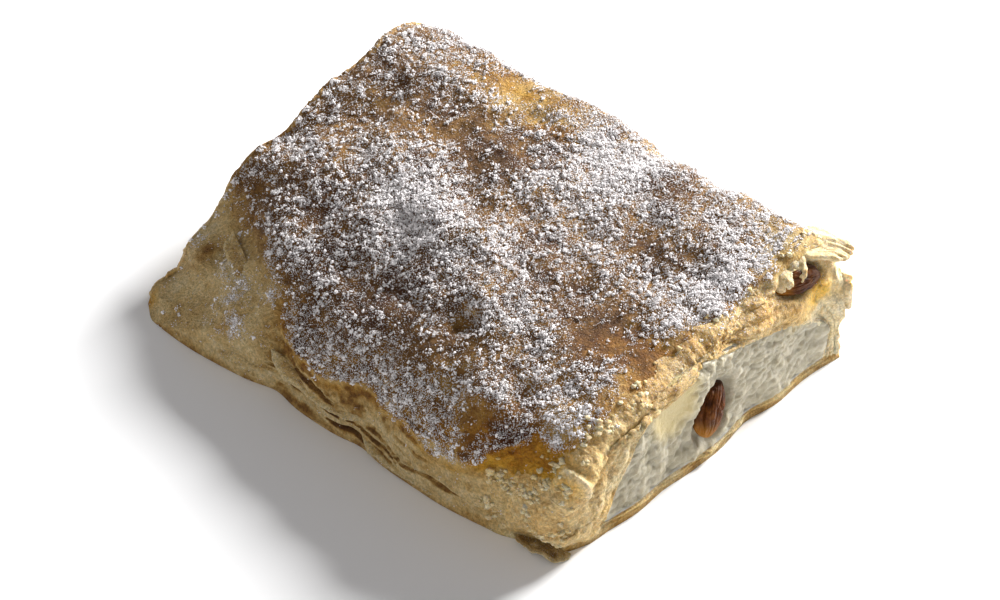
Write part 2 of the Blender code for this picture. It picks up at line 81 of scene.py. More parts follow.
def soft_light(name, place, power, size):
    """A square area light at place, aimed at the middle of the piece."""
    light = bpy.data.lights.new(name, "AREA")
    light.energy = power
    light.size = size
    lamp = bpy.data.objects.new(name, light)
    lamp.location = place
    lamp.rotation_euler = (Vector((0, 0, 0.015)) - lamp.location).to_track_quat("-Z", "Y").to_euler()
    bpy.context.collection.objects.link(lamp)


soft_light("window", (0.09, 0.88, 0.47), 31.0, 0.30)
soft_light("reflector", (0.28, -0.93, 0.25), 3.2, 0.80)

AIM = Vector((5.9 * MM, -2.13 * MM, 14.2 * MM))
DISTANCE = 850.5 * MM
AZIMUTH, ELEVATION = np.radians(43.5), np.radians(41.0)
level = np.cos(ELEVATION)
back = Vector((np.sin(AZIMUTH) * level, -np.cos(AZIMUTH) * level, np.sin(ELEVATION)))
camera = bpy.data.objects.new("camera", bpy.data.cameras.new("camera"))
camera.data.lens = 150.6
camera.data.sensor_width = 36.0
camera.location = AIM + back * DISTANCE
camera.rotation_euler = back.to_track_quat("Z", "Y").to_euler()
bpy.context.collection.objects.link(camera)
bpy.context.scene.camera = camera

# ------------------------ the pastry wrapper
# Thin dough leaves wrapped round the filling and baked: a brown crust on the crown, tan folded
# sides, pale moist leaves at the cuts. One closed run of rings: skin, near cut, tunnel, far cut.
LOW, HIGH = np.array(cad_box) / MM
CUT_X = 57.4
SIDE_Y = 43.2
CROWN_HEIGHT = (26.2, 29.6, 28.6)
CROWN_TILT = (0.20, 0.100, 0.115)
CROWN_TILT_END = (30, 30, 44)
FRONT_POWERS = ((3.0, 2.3), (3.0, 2.6), (7.0, 4.0))
BACK_POWERS = ((11.0, 5.0), (14.0, 5.0), (14.0, 5.0))
RAMP_START = 0.2
RAMP_SLOPE_Y = 0.677
RAMP_SLOPE_X = 0.38
RAMP_SOFTNESS = 1.5
# Bumps: centre in the two directions, radius in each, height
CRUST_BUMPS = (
    (-27, 2, 12, 6, 1.5), (-6, -5, 13, 5, 1.7), (18, -13, 12, 6, 1.6), (-7, -22, 14, 5, -1.8),
    (15, -22, 3.2, 3, -2.2), (-43, 12, 4, 8, -1.3), (-48, 26, 7, 11, 1.6), (-57, -6, 8, 5, -1.8),
    (-8, 40, 12, 7, 2.1), (12, 38, 7, 8, -2.0), (-57, 42, 5, 6, -2.6), (-37, 40, 7, 7, 2.2),
    (35, 41, 9, 5, 0.9), (-20, 31, 12, 7, -0.8), (33, -34, 8, 4, 1.2), (51, -38, 5, 6, -3.0),
    (37, 6, 9, 9, -1.0), (40, 26, 12, 8, 1.0),
)
FRONT_BULGES = ((-43, 17, 2.1), (-18, 5, -1.4), (7, 5, -1.1))
FRONT_CORNERS = ((28, 50, 2.2), (48, 60, 1.6), (-53, -59, 3.0))
UNDERCUT = 3.4
UNDERCUT_TOP = 6
TUCK = ((-25, 2.0, 1.3), (-20.5, 2.4, -1.1))
PITS = ((-47, -28, 3, 4, -1.6), (-58, -34.5, 4.5, 5, -1.5))
# Slits: depth, x of the two ends, height of the two ends, width
SLITS = (
    (1.9, -19, 1, 8.0, 5.0, 0.36), (1.4, -14, -1, 9.8, 8.0, 0.28), (1.3, -22, -7, 6.2, 4.6, 0.25),
    (1.6, -5, 12, 3.0, 2.0, 0.34), (1.1, 1, 17, 5.2, 3.6, 0.24), (1.1, 15, 38, 4.6, 5.4, 0.26),
    (1.0, -34, -22, 3.6, 5.4, 0.30),
)
BACK_SLITS = ((1.8, -12, 9, 6.0, 7.6, 0.5), (1.0, 14, 40, 10.5, 8.2, 0.35))
TUNNEL_FLOOR = 2.3
TUNNEL_FRONT = (-13.5, -20.5)
TUNNEL_BACK = (38.5, 40.8)
TUNNEL_LEAN = 7.6
TUNNEL_TOP_FAR = (15.0, 19.0, 14.5)
TUNNEL_TOP_NEAR = (25.8, 23.6, 14.5)
TUNNEL_POWERS = (16.0, 4.5)
CUT_BREAK = (22, 29.5, 3.0)
CUT_NOTCH = (17, 5, 1.6)
FAR_BREAK = (19, 27, 1.2)
TEAR_LUMPS = ((23, 27, 7, 3, 1.6), (-29, 12, 3, 5, 1.2))
CUT_FOOT_WAVES = ((-21, 0, 7, 9, 1.2), (-4, 0, 5, 9, 0.9), (18, 0, 5, 9, -0.8), (41, 0, 5, 9, -0.6))
CRUST_POINTS, FOOT_POINTS = 300, 30      # of one section
FINE_FROM, COARSE_RINGS, FINE_RINGS = 0.87, 190, 50   # the skin's rings lie closer near the near cut
SKIN_RINGS = COARSE_RINGS + FINE_RINGS
NEAR_RINGS, TUNNEL_RINGS, FAR_RINGS = 28, 8, 16
RAISIN_SEATS = {"raisin_lower": (7.2, 4.9), "raisin_upper": (6.2, 2.5)}
RAISIN_PLACES = {
    "raisin_lower": ((56.2, 6.1, 10.5), (57, 10), 1.14, 3),
    "raisin_upper": ((54.6, 32.6, 25.7), (-8, -10), 0.86, 4),
}


def smoothstep(low, high, value):
    """0 below low, 1 above high, and an S curve between them."""
    t = np.clip((value - low) / (high - low), 0.0, 1.0)
    return t * t * (3.0 - 2.0 * t)


def along(e, values):
    """The quadratic through three values, at e = -1, 0 and 1."""
    far, middle, near = values
    return middle + e * (near - far) / 2 + e * e * ((near + far) / 2 - middle)


def hill(x, y, bump):
    """A bell-shaped hill or hollow: height times exp of minus the squared distance over radius."""
    cx, cy, rx, ry, height = bump
    return height * np.exp(-((x - cx) / rx) ** 2 - ((y - cy) / ry) ** 2)


def with_hills(value, x, y, bumps):
    """A value with a row of hills and hollows added to it."""
    for bump in bumps:
        value = value + hill(x, y, bump)
    return value


def crumple(x, y, z, wavelength, seed):
    """Nine sine waves in seeded directions and lengths, added up to about -1 to 1."""
    rng = np.random.default_rng(seed)
    total = 0.0
    for _ in range(9):
        direction = rng.normal(size=3)
        direction /= np.linalg.norm(direction) * wavelength * rng.uniform(0.7, 1.5)
        total = total + np.sin(2 * np.pi * (x * direction[0] + y * direction[1] + z * direction[2]
                                            + rng.uniform()))
    return total / 4.0


def grain(x, y, z, size, seed):
    """Value noise, -1 to 1: seeded values on a cubic lattice, blended smoothly inside each cell."""
    values = np.random.default_rng(seed).uniform(-1, 1, (32, 32, 32))
    place = np.stack(np.broadcast_arrays(x, y, z), axis=-1) / size + 4096.5
    low = np.floor(place).astype(int)
    part = place - low
    part = part * part * (3 - 2 * part)
    total = 0.0
    for corner in np.ndindex(2, 2, 2):
        weight = np.prod(np.where(corner, part, 1 - part), axis=-1)
        i, j, k = np.moveaxis((low + corner) % 32, -1, 0)
        total = total + weight * values[i, j, k]
    return total


def cells(x, y, z, size, seed):
    """Distance to the nearest of seeded points, one in each cell of a cubic lattice, in cell sizes."""
    jitter = np.random.default_rng(seed).uniform(0.08, 0.92, (16, 16, 16, 3))
    place = np.stack(np.broadcast_arrays(x, y, z), axis=-1) / size + 1024.5
    low = np.floor(place).astype(int)
    nearest = np.full(place.shape[:-1], 9.0)
    for step in np.ndindex(3, 3, 3):
        cell = low + np.array(step) - 1
        i, j, k = np.moveaxis(cell % 16, -1, 0)
        nearest = np.minimum(nearest, np.linalg.norm(cell + jitter[i, j, k] - place, axis=-1))
    return nearest


def ridge(x, wave):
    """A bell-shaped ridge or valley along one direction."""
    centre, radius, height = wave
    return height * np.exp(-((x - centre) / radius) ** 2)


def front_side(x):
    """How far the front side stands out: a bulge at the far end, waists, a rounded near corner."""
    bulges = sum(ridge(x, bulge) for bulge in FRONT_BULGES)
    corners = sum(depth * smoothstep(start, end, x) for start, end, depth in FRONT_CORNERS)
    return SIDE_Y + bulges - corners


def back_side(x):
    """How far the back side stands out: nearly straight."""
    return SIDE_Y + 1.2 + 0.4 * np.sin(x / 9 + 1.0)


def crust_height(x, y, front, back):
    """The crown's tilted plane with hills, let down to the foot at both sides by superellipses."""
    e = x / CUT_X
    crown = along(e, CROWN_HEIGHT) + along(e, CROWN_TILT) * np.minimum(y, along(e, CROWN_TILT_END))
    crown = with_hills(crown, x, y, CRUST_BUMPS)
    t = np.clip(np.abs(y) / np.where(y < 0, front, back), 0.0, 1.0)
    n_front, m_front = (along(e, [powers[k] for powers in FRONT_POWERS]) for k in (0, 1))
    n_back, m_back = (along(e, [powers[k] for powers in BACK_POWERS]) for k in (0, 1))
    dome = crown * (1 - t ** np.where(y < 0, n_front, n_back)) ** (1 / np.where(y < 0, m_front, m_back))
    ramp = RAMP_START + RAMP_SLOPE_Y * (y + SIDE_Y - 1.4) + RAMP_SLOPE_X * (x + CUT_X)
    ramp = np.maximum(ramp, 0.0) + dome * 0.04
    mix = np.clip(0.5 + 0.5 * (ramp - dome) / RAMP_SOFTNESS, 0.0, 1.0)
    return dome * mix + ramp * (1 - mix) - RAMP_SOFTNESS / 2 * mix * (1 - mix)


def section(x, crust_points, foot_points):
    """The skin's outline at x, evenly spaced: over the top from front to back, then the foot."""
    front, back = front_side(x), back_side(x)
    swing = -np.cos(np.linspace(0, np.pi, 2400))
    y = np.sign(swing) * np.abs(swing) ** 0.35 * np.where(swing < 0, front, back)
    z = crust_height(x, y, front, back)
    z[[0, -1]] = 0.0
    tucked = UNDERCUT * smoothstep(44, 55, x) * smoothstep(UNDERCUT_TOP, 1, z)
    y = np.where(y < 0, y + tucked * smoothstep(-20, -40, y), y)
    steps = np.hypot(np.diff(y), np.diff(z)) * np.interp(z[1:], (0, 20), (1.5, 1.0))
    path = np.concatenate(([0.0], np.cumsum(steps)))
    even = np.linspace(0, path[-1], crust_points)
    foot = np.linspace(y[-1], y[0], foot_points + 2)[1:-1]
    return (np.concatenate((np.interp(even, path, y), foot)),
            np.concatenate((np.interp(even, path, z), np.zeros(foot_points))))


def tunnel_section(t, shrink, crust_points, foot_points):
    """The filling's outline: a superellipse with a slanted front, a falling top and a flat foot."""
    front = np.interp(t, (0, 1), TUNNEL_FRONT) + shrink
    back = np.interp(t, (0, 1), TUNNEL_BACK) - shrink
    angle = np.linspace(np.pi * 1.25, -np.pi * 0.25, 2400)
    power = np.where(np.sin(angle) < 0, *TUNNEL_POWERS)
    p = np.sign(np.cos(angle)) * np.abs(np.cos(angle)) ** (2 / power)
    q = np.sign(np.sin(angle)) * np.abs(np.sin(angle)) ** (2 / power)
    floor = TUNNEL_FLOOR + shrink
    top = along(p, TUNNEL_TOP_FAR) * (1 - t) + along(p, TUNNEL_TOP_NEAR) * t - shrink
    y = (front + back) / 2 + (back - front) / 2 * p + TUNNEL_LEAN * (1 - p) / 2 * q
    z = (floor + top) / 2 + (top - floor) / 2 * q
    path = np.concatenate(([0.0], np.cumsum(np.hypot(np.diff(y), np.diff(z)))))
    even = np.linspace(0, path[-1], crust_points)
    y, z = np.interp(even, path, y), np.interp(even, path, z)
    foot = np.linspace(0, 1, foot_points + 2)[1:-1]
    return (np.concatenate((y, y[-1] + foot * (y[0] - y[-1]))),
            np.concatenate((z, z[-1] + foot * (z[0] - z[-1]))))


def near_cut(y, z):
    """Where the near cut lies: the crust has broken away above the filling."""
    start, end, depth = CUT_BREAK
    broken = depth * smoothstep(start, end, z) + ridge(y, CUT_NOTCH) * smoothstep(start, end, z) ** 2
    wave = 0.4 * np.sin(y / 3.1) + 0.3 * np.sin(y / 7.7 + 1.0)
    wave = with_hills(wave, y, z, CUT_FOOT_WAVES)
    tucked = 0.8 * UNDERCUT * smoothstep(-29, -38, y) * smoothstep(UNDERCUT_TOP, 1, z)
    return CUT_X - broken - tucked + wave * smoothstep(end, 4, z)


def far_cut(y, z):
    """Where the far cut lies: nearly flat, as the knife left it."""
    start, end, depth = FAR_BREAK
    return -CUT_X + depth * smoothstep(start, end, z) + 0.5 * np.sin(y / 3.7 + 2.0)


def placed(y, z, t):
    """A section's points at fraction t of the way from the far cut to the near one."""
    return np.stack((far_cut(y, z) * (1 - t) + near_cut(y, z) * t, y, z), axis=-1)


def crust_line(x):
    """Height on the front side where the sugared top crust ends."""
    return (12.4 + 1.2 * np.sin(x / 7) + 0.6 * np.sin(x / 2.3)
            + 5.0 * smoothstep(-18, -27, x) + 6.5 * smoothstep(30, 43, x))


def torn_away(x, y, z):
    """
    How far the top crust has broken away at the near cut and corner, 0 to 1: beyond a line that
    runs along the front shoulder, turns at the corner and follows the cut, with ragged bites.
    """
    line = (-38.0 + 5.0 * smoothstep(40, 46, x) + 3 * smoothstep(50, 53, x)
            + 90 * smoothstep(53.0, 57.0, x))
    ragged = 1.6 * grain(x, y, z, 3.4, 28) + 0.8 * grain(x, y, z, 1.3, 29)
    return smoothstep(0, 1.2, line + ragged - y) * smoothstep(37, 41, x)


def raisin_seat(y, z, name):
    """Where a raisin covers a cut: 1 inside its outline, falling to 0 a little outside it."""
    centre, turn, _, _ = RAISIN_PLACES[name]
    length, width = RAISIN_SEATS[name]
    roll = np.radians(turn[0])
    away_y, away_z = y - centre[1] + 0.8 * np.sin(roll), z - centre[2] - 1.0 * np.cos(roll)
    lengthwise = (away_y * np.cos(roll) + away_z * np.sin(roll)) / length
    sideways = (-away_y * np.sin(roll) + away_z * np.cos(roll)) / width
    return smoothstep(1.25, 0.85, np.hypot(lengthwise, sideways))


def groove(x, z, start, end, height_start, height_end, width):
    """A dark slit on a long side: 1 in its middle, 0 outside, pointed at both ends."""
    t = np.clip((x - start) / (end - start), 0, 1)
    middle = height_start + (height_end - height_start) * t + 0.3 * np.sin(x / 1.7)
    spread = width * np.sin(np.pi * t) ** 0.5 + 0.001
    return np.exp(-((z - middle) / spread) ** 2) * smoothstep(0.0, 0.08, t) * smoothstep(1.0, 0.92, t)


def skin_relief(x, y, z):
    """Waves, blisters and wrinkles of the crust, leaf edges and slits of the sides, and the tuck."""
    relief = 0.55 * crumple(x, y, z, 17, 5) + 0.32 * crumple(x, y, z, 8, 8)
    on_front = smoothstep(-34, -41, y)
    on_side = np.maximum(on_front, smoothstep(40, 43.5, y))
    torn = torn_away(x, y, z)
    tuck = sum(ridge(x, wave) for wave in TUCK)
    tuck = tuck * smoothstep(5, 9, z) * smoothstep(21, 15, z)
    leaf_edge = 6.5 + 1.2 * np.sin(x / 8) + 0.5 * grain(x, 0 * y, 0 * z, 3, 30)
    overlap = 0.8 * smoothstep(-0.3, 0.3, z - leaf_edge) - 0.4
    overlap = overlap * smoothstep(-24, -14, x)
    pits = sum(hill(x, y, pit) for pit in PITS) * smoothstep(2, 5, z)
    relief = relief + on_front * (tuck + overlap) + pits

    folds = np.abs(grain(x, y, z, 6.5, 20)) + 0.5 * np.abs(grain(x, y, z, 3.1, 21))
    relief = relief + 0.50 * (0.55 - folds)
    relief = relief + 0.16 * grain(x, y, z, 1.6, 22) + 0.09 * grain(x, y, z, 0.8, 23)
    wander = 2.4 * grain(x, y, z, 14, 24) + 0.5 * grain(x, y, z, 3, 25)
    layer = ((z + wander) / 2.6) % 1.0
    layers = 0.34 * (layer ** 3 - 0.25) * smoothstep(-0.1, 0.3, grain(x, y, z, 8, 26))
    relief = relief + on_side * layers * smoothstep(20, 14, z) * (1 - torn)
    ragged = crust_line(x) + 0.9 * grain(x, y, z, 2.4, 27)
    relief = relief + on_front * 0.55 * smoothstep(-0.35, 0.35, z - ragged)

    dent = hill(x, z, (46, 19.5, 9, 5, 1.6)) * on_front
    relief = relief - torn * (0.6 + dent)
    crumbly = np.maximum(torn, 0.3 * smoothstep(47, 53, x))
    crumbly = crumbly * (0.35 + 0.35 * on_front * smoothstep(36, 42, x))
    relief = relief + crumbly * (0.6 - cells(x, y, z, 2.3, 37)) * smoothstep(2, 5, z)

    slits = sum(depth * groove(x, z, *shape) for depth, *shape in SLITS)
    back_slits = sum(depth * groove(x, z, *shape) for depth, *shape in BACK_SLITS)
    relief = relief - np.where(y < 0, slits * on_front, back_slits * on_side)
    return relief * smoothstep(0.0, 2.5, z)


def ring_normals(grid):
    """Unit normals of a grid of rings: the cross product of its two directions."""
    wrapped = np.concatenate((grid[:, -1:], grid, grid[:, :1]), axis=1)
    normal = np.cross(np.gradient(grid, axis=0), wrapped[:, 2:] - wrapped[:, :-2])
    return normal / np.maximum(np.linalg.norm(normal, axis=2, keepdims=True), 1e-6)


def keep_in_box(points):
    """Nothing stands out of the solid's own box."""
    return np.clip(points, LOW, HIGH)


def torn_rings(outer, inner, count, direction):
    """Rings across a cut, between skin and tunnel: leaves step out and in, with crumbly lumps."""
    fractions = np.linspace(0, 1, count + 2)[1:-1, None, None]
    rings = outer * (1 - fractions) + inner * fractions
    x, y, z = np.moveaxis(rings, -1, 0)
    f = fractions[..., 0]
    depth = 0.7 * crumple(x, y, z, 7, 31) + 0.25 * np.sin(6 * np.pi * f)
    depth = depth + 0.30 * (0.6 - cells(x, y, z, 1.9, 33)) + 0.2 * grain(x, y, z, 1.2, 34)
    if direction > 0:
        depth = depth + sum(hill(y, z, lump) for lump in TEAR_LUMPS)
        seat = raisin_seat(y, z, "raisin_upper")
        depth = depth * (1 - seat) - 3.2 * seat
        cut = near_cut(y, z)
    else:
        cut = far_cut(y, z)
    target = cut + direction * depth * smoothstep(0.4, 2.5, z)
    join = smoothstep(0.0, 0.16, f)
    rings[..., 0] = x * (1 - join) + target * join
    return rings


def piece(name, points, faces, **attributes):
    """
    A smooth mesh, in metres, from points in millimetres and faces; each keyword is a float
    attribute, a value for each point or one for all.
    """
    points = (np.asarray(points) * MM).astype(np.float32).reshape(-1, 3)
    faces = np.asarray(faces, dtype=np.int32)
    corners = faces.shape[1]
    mesh = bpy.data.meshes.new(name)
    mesh.vertices.add(len(points))
    mesh.vertices.foreach_set("co", points.ravel())
    mesh.loops.add(faces.size)
    mesh.loops.foreach_set("vertex_index", faces.ravel())
    mesh.polygons.add(len(faces))
    mesh.polygons.foreach_set("loop_start", np.arange(len(faces), dtype=np.int32) * corners)
    mesh.update(calc_edges=True)
    mesh.validate()
    mesh.shade_smooth()
    for key, values in attributes.items():
        layer = mesh.attributes.new(key, "FLOAT", "POINT")
        values = np.broadcast_to(np.ravel(values), len(points)).astype(np.float32)
        layer.data.foreach_set("value", values)
    made = bpy.data.objects.new(name, mesh)
    bpy.context.collection.objects.link(made)
    return made


def ring_quads(count, around, closed):
    """Quads between rings of points; closed also joins the last ring to the first."""
    i = np.arange(count if closed else count - 1)[:, None] * around
    j = np.arange(around)[None]
    k = (j + 1) % around
    second = (i + around) % (count * around)
    return np.stack((i + k, i + j, second + j, second + k), axis=-1).reshape(-1, 4)


steps_along = np.concatenate((np.linspace(0, FINE_FROM, COARSE_RINGS, endpoint=False),
                              np.linspace(FINE_FROM, 1, FINE_RINGS)))
skin = np.array([placed(*section((2 * t - 1) * CUT_X, CRUST_POINTS, FOOT_POINTS), t) for t in steps_along])
x, y, z = np.moveaxis(skin, -1, 0)
sink = skin_relief(x, y, z)
to_cut = ((1 - steps_along) * 2 * CUT_X)[:, None]
edge_radius = 2.8 + 3.4 * smoothstep(12, -6, y)
worn = 0.75 * edge_radius * (1 - np.sqrt(1 - np.clip(1 - to_cut / edge_radius, 0, 1) ** 2))
sink = sink - worn * smoothstep(3, 9, z) * (1 - 0.8 * smoothstep(36, 42, y))
skin = skin + ring_normals(skin) * sink[..., None]
skin[:, CRUST_POINTS:, 2] = 0.0
follow = near_cut(skin[..., 1], skin[..., 2]) - near_cut(y, z)
skin[..., 0] += follow * smoothstep(edge_radius, 0, to_cut)
edge_noise = 0.7 * grain(x, y, z, 4.2, 39) + 0.5 * grain(x, y, z, 1.9, 35)
skin[..., 0] += edge_noise * smoothstep(0.95, 1.0, steps_along)[:, None] * smoothstep(2, 6, z)
over = skin[..., 2] - (HIGH[2] - 0.9)
skin[..., 2] = np.where(over > 0, HIGH[2] - (0.3 + 0.6 * np.exp(-over / 0.6)), skin[..., 2])
skin = keep_in_box(skin)
tunnel = np.array([placed(*tunnel_section(t, 0.0, CRUST_POINTS, FOOT_POINTS), t)
                   for t in np.linspace(1, 0, TUNNEL_RINGS)])
near_rings = keep_in_box(torn_rings(skin[-1], tunnel[0], NEAR_RINGS, 1))
far_rings = keep_in_box(torn_rings(skin[0], tunnel[-1], FAR_RINGS, -1)[::-1])
wrapper_points = np.concatenate((skin, near_rings, tunnel, far_rings))
skin_normals = ring_normals(skin)

# Paler and browner spots of the crust, thinner and thicker places of the sugar: centre x, y,
# radius in x and in y, and how much. Some are painted light and shade: the browner crust and
# thinner sugar in the hollow of the crown's front slope, near x -7 to 26 and y -22 to -33, paint
# the shade that lies there, and the thicker sugar along the crown's ridge, near x -23 to 23 and
# y 3 to -16, partly paints the light it catches.
BROWN_SPOTS = (
    (-20, 32, 15, 7, -0.38), (8, 43, 20, 6, -0.25), (18, 30, 6, 5, 0.20), (-9, 27, 5, 4, 0.10),
    # Painted shade: (-7, -22) in the next row browns the crown's shaded front hollow.
    (42, -8, 9, 13, -0.02), (31, -36, 7, 5, -0.22), (-7, -22, 14, 7, 0.10), (50, -28, 9, 9, -0.25),
    (50, 36, 9, 8, -0.45),
)
SUGAR_SPOTS = (
    # Partly painted light: the next row, (-2, -6) and (23, -16) thicken the sugar on the crown's lit ridge.
    (-22, 3, 9, 6, 0.12), (-13, -6, 8, 6, 0.32), (-23, -4, 6, 5, 0.14), (-15, -13, 7, 5, 0.16),
    (-2, -6, 7, 6, 0.18), (-8, 10, 6, 5, -0.16), (1, 2, 6, 5, -0.12), (5, -15, 8, 5, -0.05),
    (23, -16, 8, 6, 0.24), (10, 20, 14, 9, 0.20), (6, 32, 14, 5, 0.40), (30, 36, 10, 6, 0.06),
    (48, 20, 7, 8, 0.22), (32, 14, 7, 6, -0.14), (8, -38, 18, 5, 0.18), (-32, 44, 18, 4, 0.85),
    # Painted shade: (-5, -28) at the end of the next row and the whole row after it thin the sugar in the
    # crown's shaded front hollow.
    (-42, 12, 12, 12, -0.22), (-32, -12, 8, 9, -0.13), (20, 0, 9, 7, -0.13), (-5, -28, 12, 6, -0.14),
    (11, -30, 8, 6, -0.16), (19, -25, 7, 5, -0.10), (20, -33, 7, 5, -0.14), (26, -27, 6, 5, -0.12),
    (-28, 16, 10, 8, -0.14), (-14, 18, 9, 7, -0.24), (22, 30, 6, 5, -0.20), (41, -8, 8, 9, -0.24),
    (-22, 34, 13, 4, -0.36), (-8, 29, 5, 3, -0.30), (27, 17, 4, 3, -0.25), (-48, -20, 9, 6, -0.28),
    (39, -8, 6, 8, -0.25), (33, -38, 3.5, 3, -0.60), (15, -22, 2.5, 2.2, -0.30),
)
SUGAR_FLECKS = ((-55, -29), (-48, -27), (-35, -36), (-37, -38), (-27, -35), (-43, -31), (-31, -42))
BARE_LINE = ((-34, -26, -17, -6, 4, 12, 20, 28), (50, 53.5, 50, 43.5, 50, 56, 54, 50))   # y, x


def browning(x, y, z, normal_z):
    """How brown the oven made the skin, 0 to 1: the crown most; torn parts, hollows and sides less; some
    browner places are painted shade.
    """
    crown = smoothstep(0.1, 0.75, normal_z)
    brown = 0.79 + 0.14 * grain(x, y, z, 9, 41) + 0.14 * grain(x, y, z, 3, 42)
    brown = with_hills(brown, x, y, BROWN_SPOTS)
    brown = brown - 0.20 * smoothstep(44, 54, x)
    ramp = smoothstep(-17, -27, x) * smoothstep(9, -1, y + 23 + 0.48 * (x + 56))
    # The hill at (-51, -30) darkens a small pit on the far facet: painted shade of the pit.
    facet = 0.28 + 0.14 * grain(x, y, z, 5, 40) + hill(x, y, (-51, -30, 2, 3, 0.5))
    brown = brown + ramp * (facet - brown)
    side = 0.22 + 0.10 * grain(x, y, z, 6, 43) + 0.08 * grain(x, y, z, 1.6, 44)
    side = side + (0.26 + 0.2 * grain(x, y, z, 1.8, 50)) * smoothstep(2.5, 0.0, z)
    side = side + 0.14 * np.exp(-((z - crust_line(x)) / 1.3) ** 2)
    side = side - hill(x, z, (27, 17, 6, 3, 0.10)) * (y < 0)
    # Browner back side: partly a more baked crust, partly painted shade that holds back the window light
    # falling full on it.
    side = side + 0.20 * smoothstep(36, 42, y) * smoothstep(50, 42, x)
    brown = crown * brown + (1 - crown) * side
    torn = np.maximum(torn_away(x, y, z), 0.8 * smoothstep(52, 56, x))
    brown = brown + torn * (0.26 + 0.10 * grain(x, y, z, 2, 45) - brown)
    # Browner in the hollow under the crust's edge at the near front corner: partly the caramel's own deeper
    # tone, partly painted shade of the overhanging crust.
    dent = hill(x, z, (45, 19.8, 7, 3.4, 0.25)) * smoothstep(-29, -34, y)
    return np.clip(brown + dent, 0, 1)


def sugar_cover(x, y, z, normal_z):
    """How densely the sieve left sugar, 0 to 1: on what faces up, inside the crust's line; some of its
    spots paint light and shade.
    """
    cover = 0.53 + 0.10 * grain(x, y, z, 7, 51) + 0.09 * grain(x, y, z, 3, 55)
    cover = with_hills(cover, x, y, SUGAR_SPOTS)
    line = -23 - 0.48 * (x + 56) + 1.5 * grain(x, y, z, 4, 52)
    on_ramp = smoothstep(line - 1.0, line + 1.0, y)
    on_ramp = np.maximum(on_ramp, smoothstep(-27, -21, x))
    shoulder = z - crust_line(x) + 1.4 * grain(x, y, z, 3, 56)
    facing = smoothstep(0.0, 0.25, normal_z)
    upward = facing * smoothstep(-0.6, 0.8, shoulder)
    bare = np.interp(y, *BARE_LINE) + 1.8 * grain(x, y, z, 3.2, 57)
    upward = upward * (1 - 0.93 * np.maximum(torn_away(x, y, z), smoothstep(bare - 3, bare + 5, x)))
    flecks = 0.05 + 0.30 * smoothstep(0.1, 0.6, grain(x, y, z, 4, 60))
    flecks = with_hills(flecks, x, y, [(*place, 2.8, 2.0, 0.55) for place in SUGAR_FLECKS])
    flecks = flecks * smoothstep(0.15, 0.5, normal_z) * smoothstep(-20, -26, x)
    return np.clip(cover, 0.08, 1) * np.clip(np.maximum(upward * on_ramp, 1.4 * flecks), 0.03, 1)


skin_brown = browning(*np.moveaxis(skin, -1, 0), skin_normals[..., 2])
skin_sugar = sugar_cover(*np.moveaxis(skin, -1, 0), skin_normals[..., 2])
x, y, z = np.moveaxis(wrapper_points, -1, 0)
cut_tone = 0.17 + 0.12 * grain(x, y, z, 4, 46) + 0.10 * grain(x, y, z, 1.4, 47)
wrapper_brown = np.clip(cut_tone + 0.28 * smoothstep(2.5, 0.5, z), 0, 1)
wrapper_brown[:SKIN_RINGS] = skin_brown
wrapper_sugar = np.zeros(x.shape)
wrapper_sugar[:SKIN_RINGS] = skin_sugar
# Painted shade: the most sunken places of the skin short of x 38, the slits and the deepest pits, get a
# dark tone.
painted_slit_shade = np.zeros(x.shape)
painted_slit_shade[:SKIN_RINGS] = np.clip((-sink - 1.5) / 1.2, 0, 1) * (x[:SKIN_RINGS] < 38)
amber = (
    # The first term fills the same hollow with strong amber: partly its own golden colour, partly painted
    # shade of the overhang.
    hill(x, z, (45.0, 19.8, 8.5, 3.8, 1.8)) * smoothstep(-29, -34, y)
    + hill(x, y, (-22, 34, 12, 3.5, 0.55))
    + hill(x, y, (-9, 29, 6, 3, 0.50))
    + hill(x, y, (52, -26, 3, 6, 0.50))
    + hill(x, y, (44, -8, 7, 10, 0.40))
    + hill(y, z, (36, 22, 3, 4, 0.45)) * smoothstep(45, 50, x)
    + 0.20 + smoothstep(44, 52, x) * (0.10 + 0.3 * grain(x, y, z, 5, 48))
    + hill(x, y, (34, -36, 8, 6, 0.30))
    + hill(x, z, (27, 17, 7, 3, 0.35)) * (y < -30)
    + 0.40 * np.exp(-((z - crust_line(x)) / 1.6) ** 2) * smoothstep(-33, -38, y)
    + hill(x, y, (-57, -42, 1.6, 1.6, 0.90))
)
amber = np.clip(amber * (1 + 0.3 * grain(x, y, z, 1.5, 49)), 0, 1)
moist = np.maximum(torn_away(x, y, z), smoothstep(50, 55, x))
wrapper = piece("pastry_wrapper", wrapper_points, ring_quads(len(wrapper_points), skin.shape[1], True),
                brown=wrapper_brown, sugar=wrapper_sugar, shade=painted_slit_shade, amber=amber, moist=moist)


def fill(tree, node, **sockets):
    """Sets a node's sockets, named or numbered: a constant, or a link from another node's output."""
    for key, value in sockets.items():
        socket = node.inputs[int(key[1:])] if key[1:].isdigit() else node.inputs[key.replace("_", " ")]
        if isinstance(value, bpy.types.NodeSocket):
            tree.links.new(value, socket)
        else:
            socket.default_value = value
    return node


def new_node(tree, kind, settings=(), **sockets):
    """Adds a node with its settings and sockets."""
    node = tree.nodes.new(kind)
    for key, value in dict(settings).items():
        setattr(node, key, value)
    return fill(tree, node, **sockets)


def new_material(name):
    """A material with nodes, its node tree and its Principled shader."""
    made = bpy.data.materials.new(name)
    made.use_nodes = True
    return made, made.node_tree, made.node_tree.nodes["Principled BSDF"]


def object_place(tree):
    """The Object coordinates."""
    return new_node(tree, "ShaderNodeTexCoord").outputs["Object"]


def attribute(tree, name):
    """The value of a piece's own attribute."""
    return new_node(tree, "ShaderNodeAttribute", {"attribute_name": name}).outputs["Fac"]


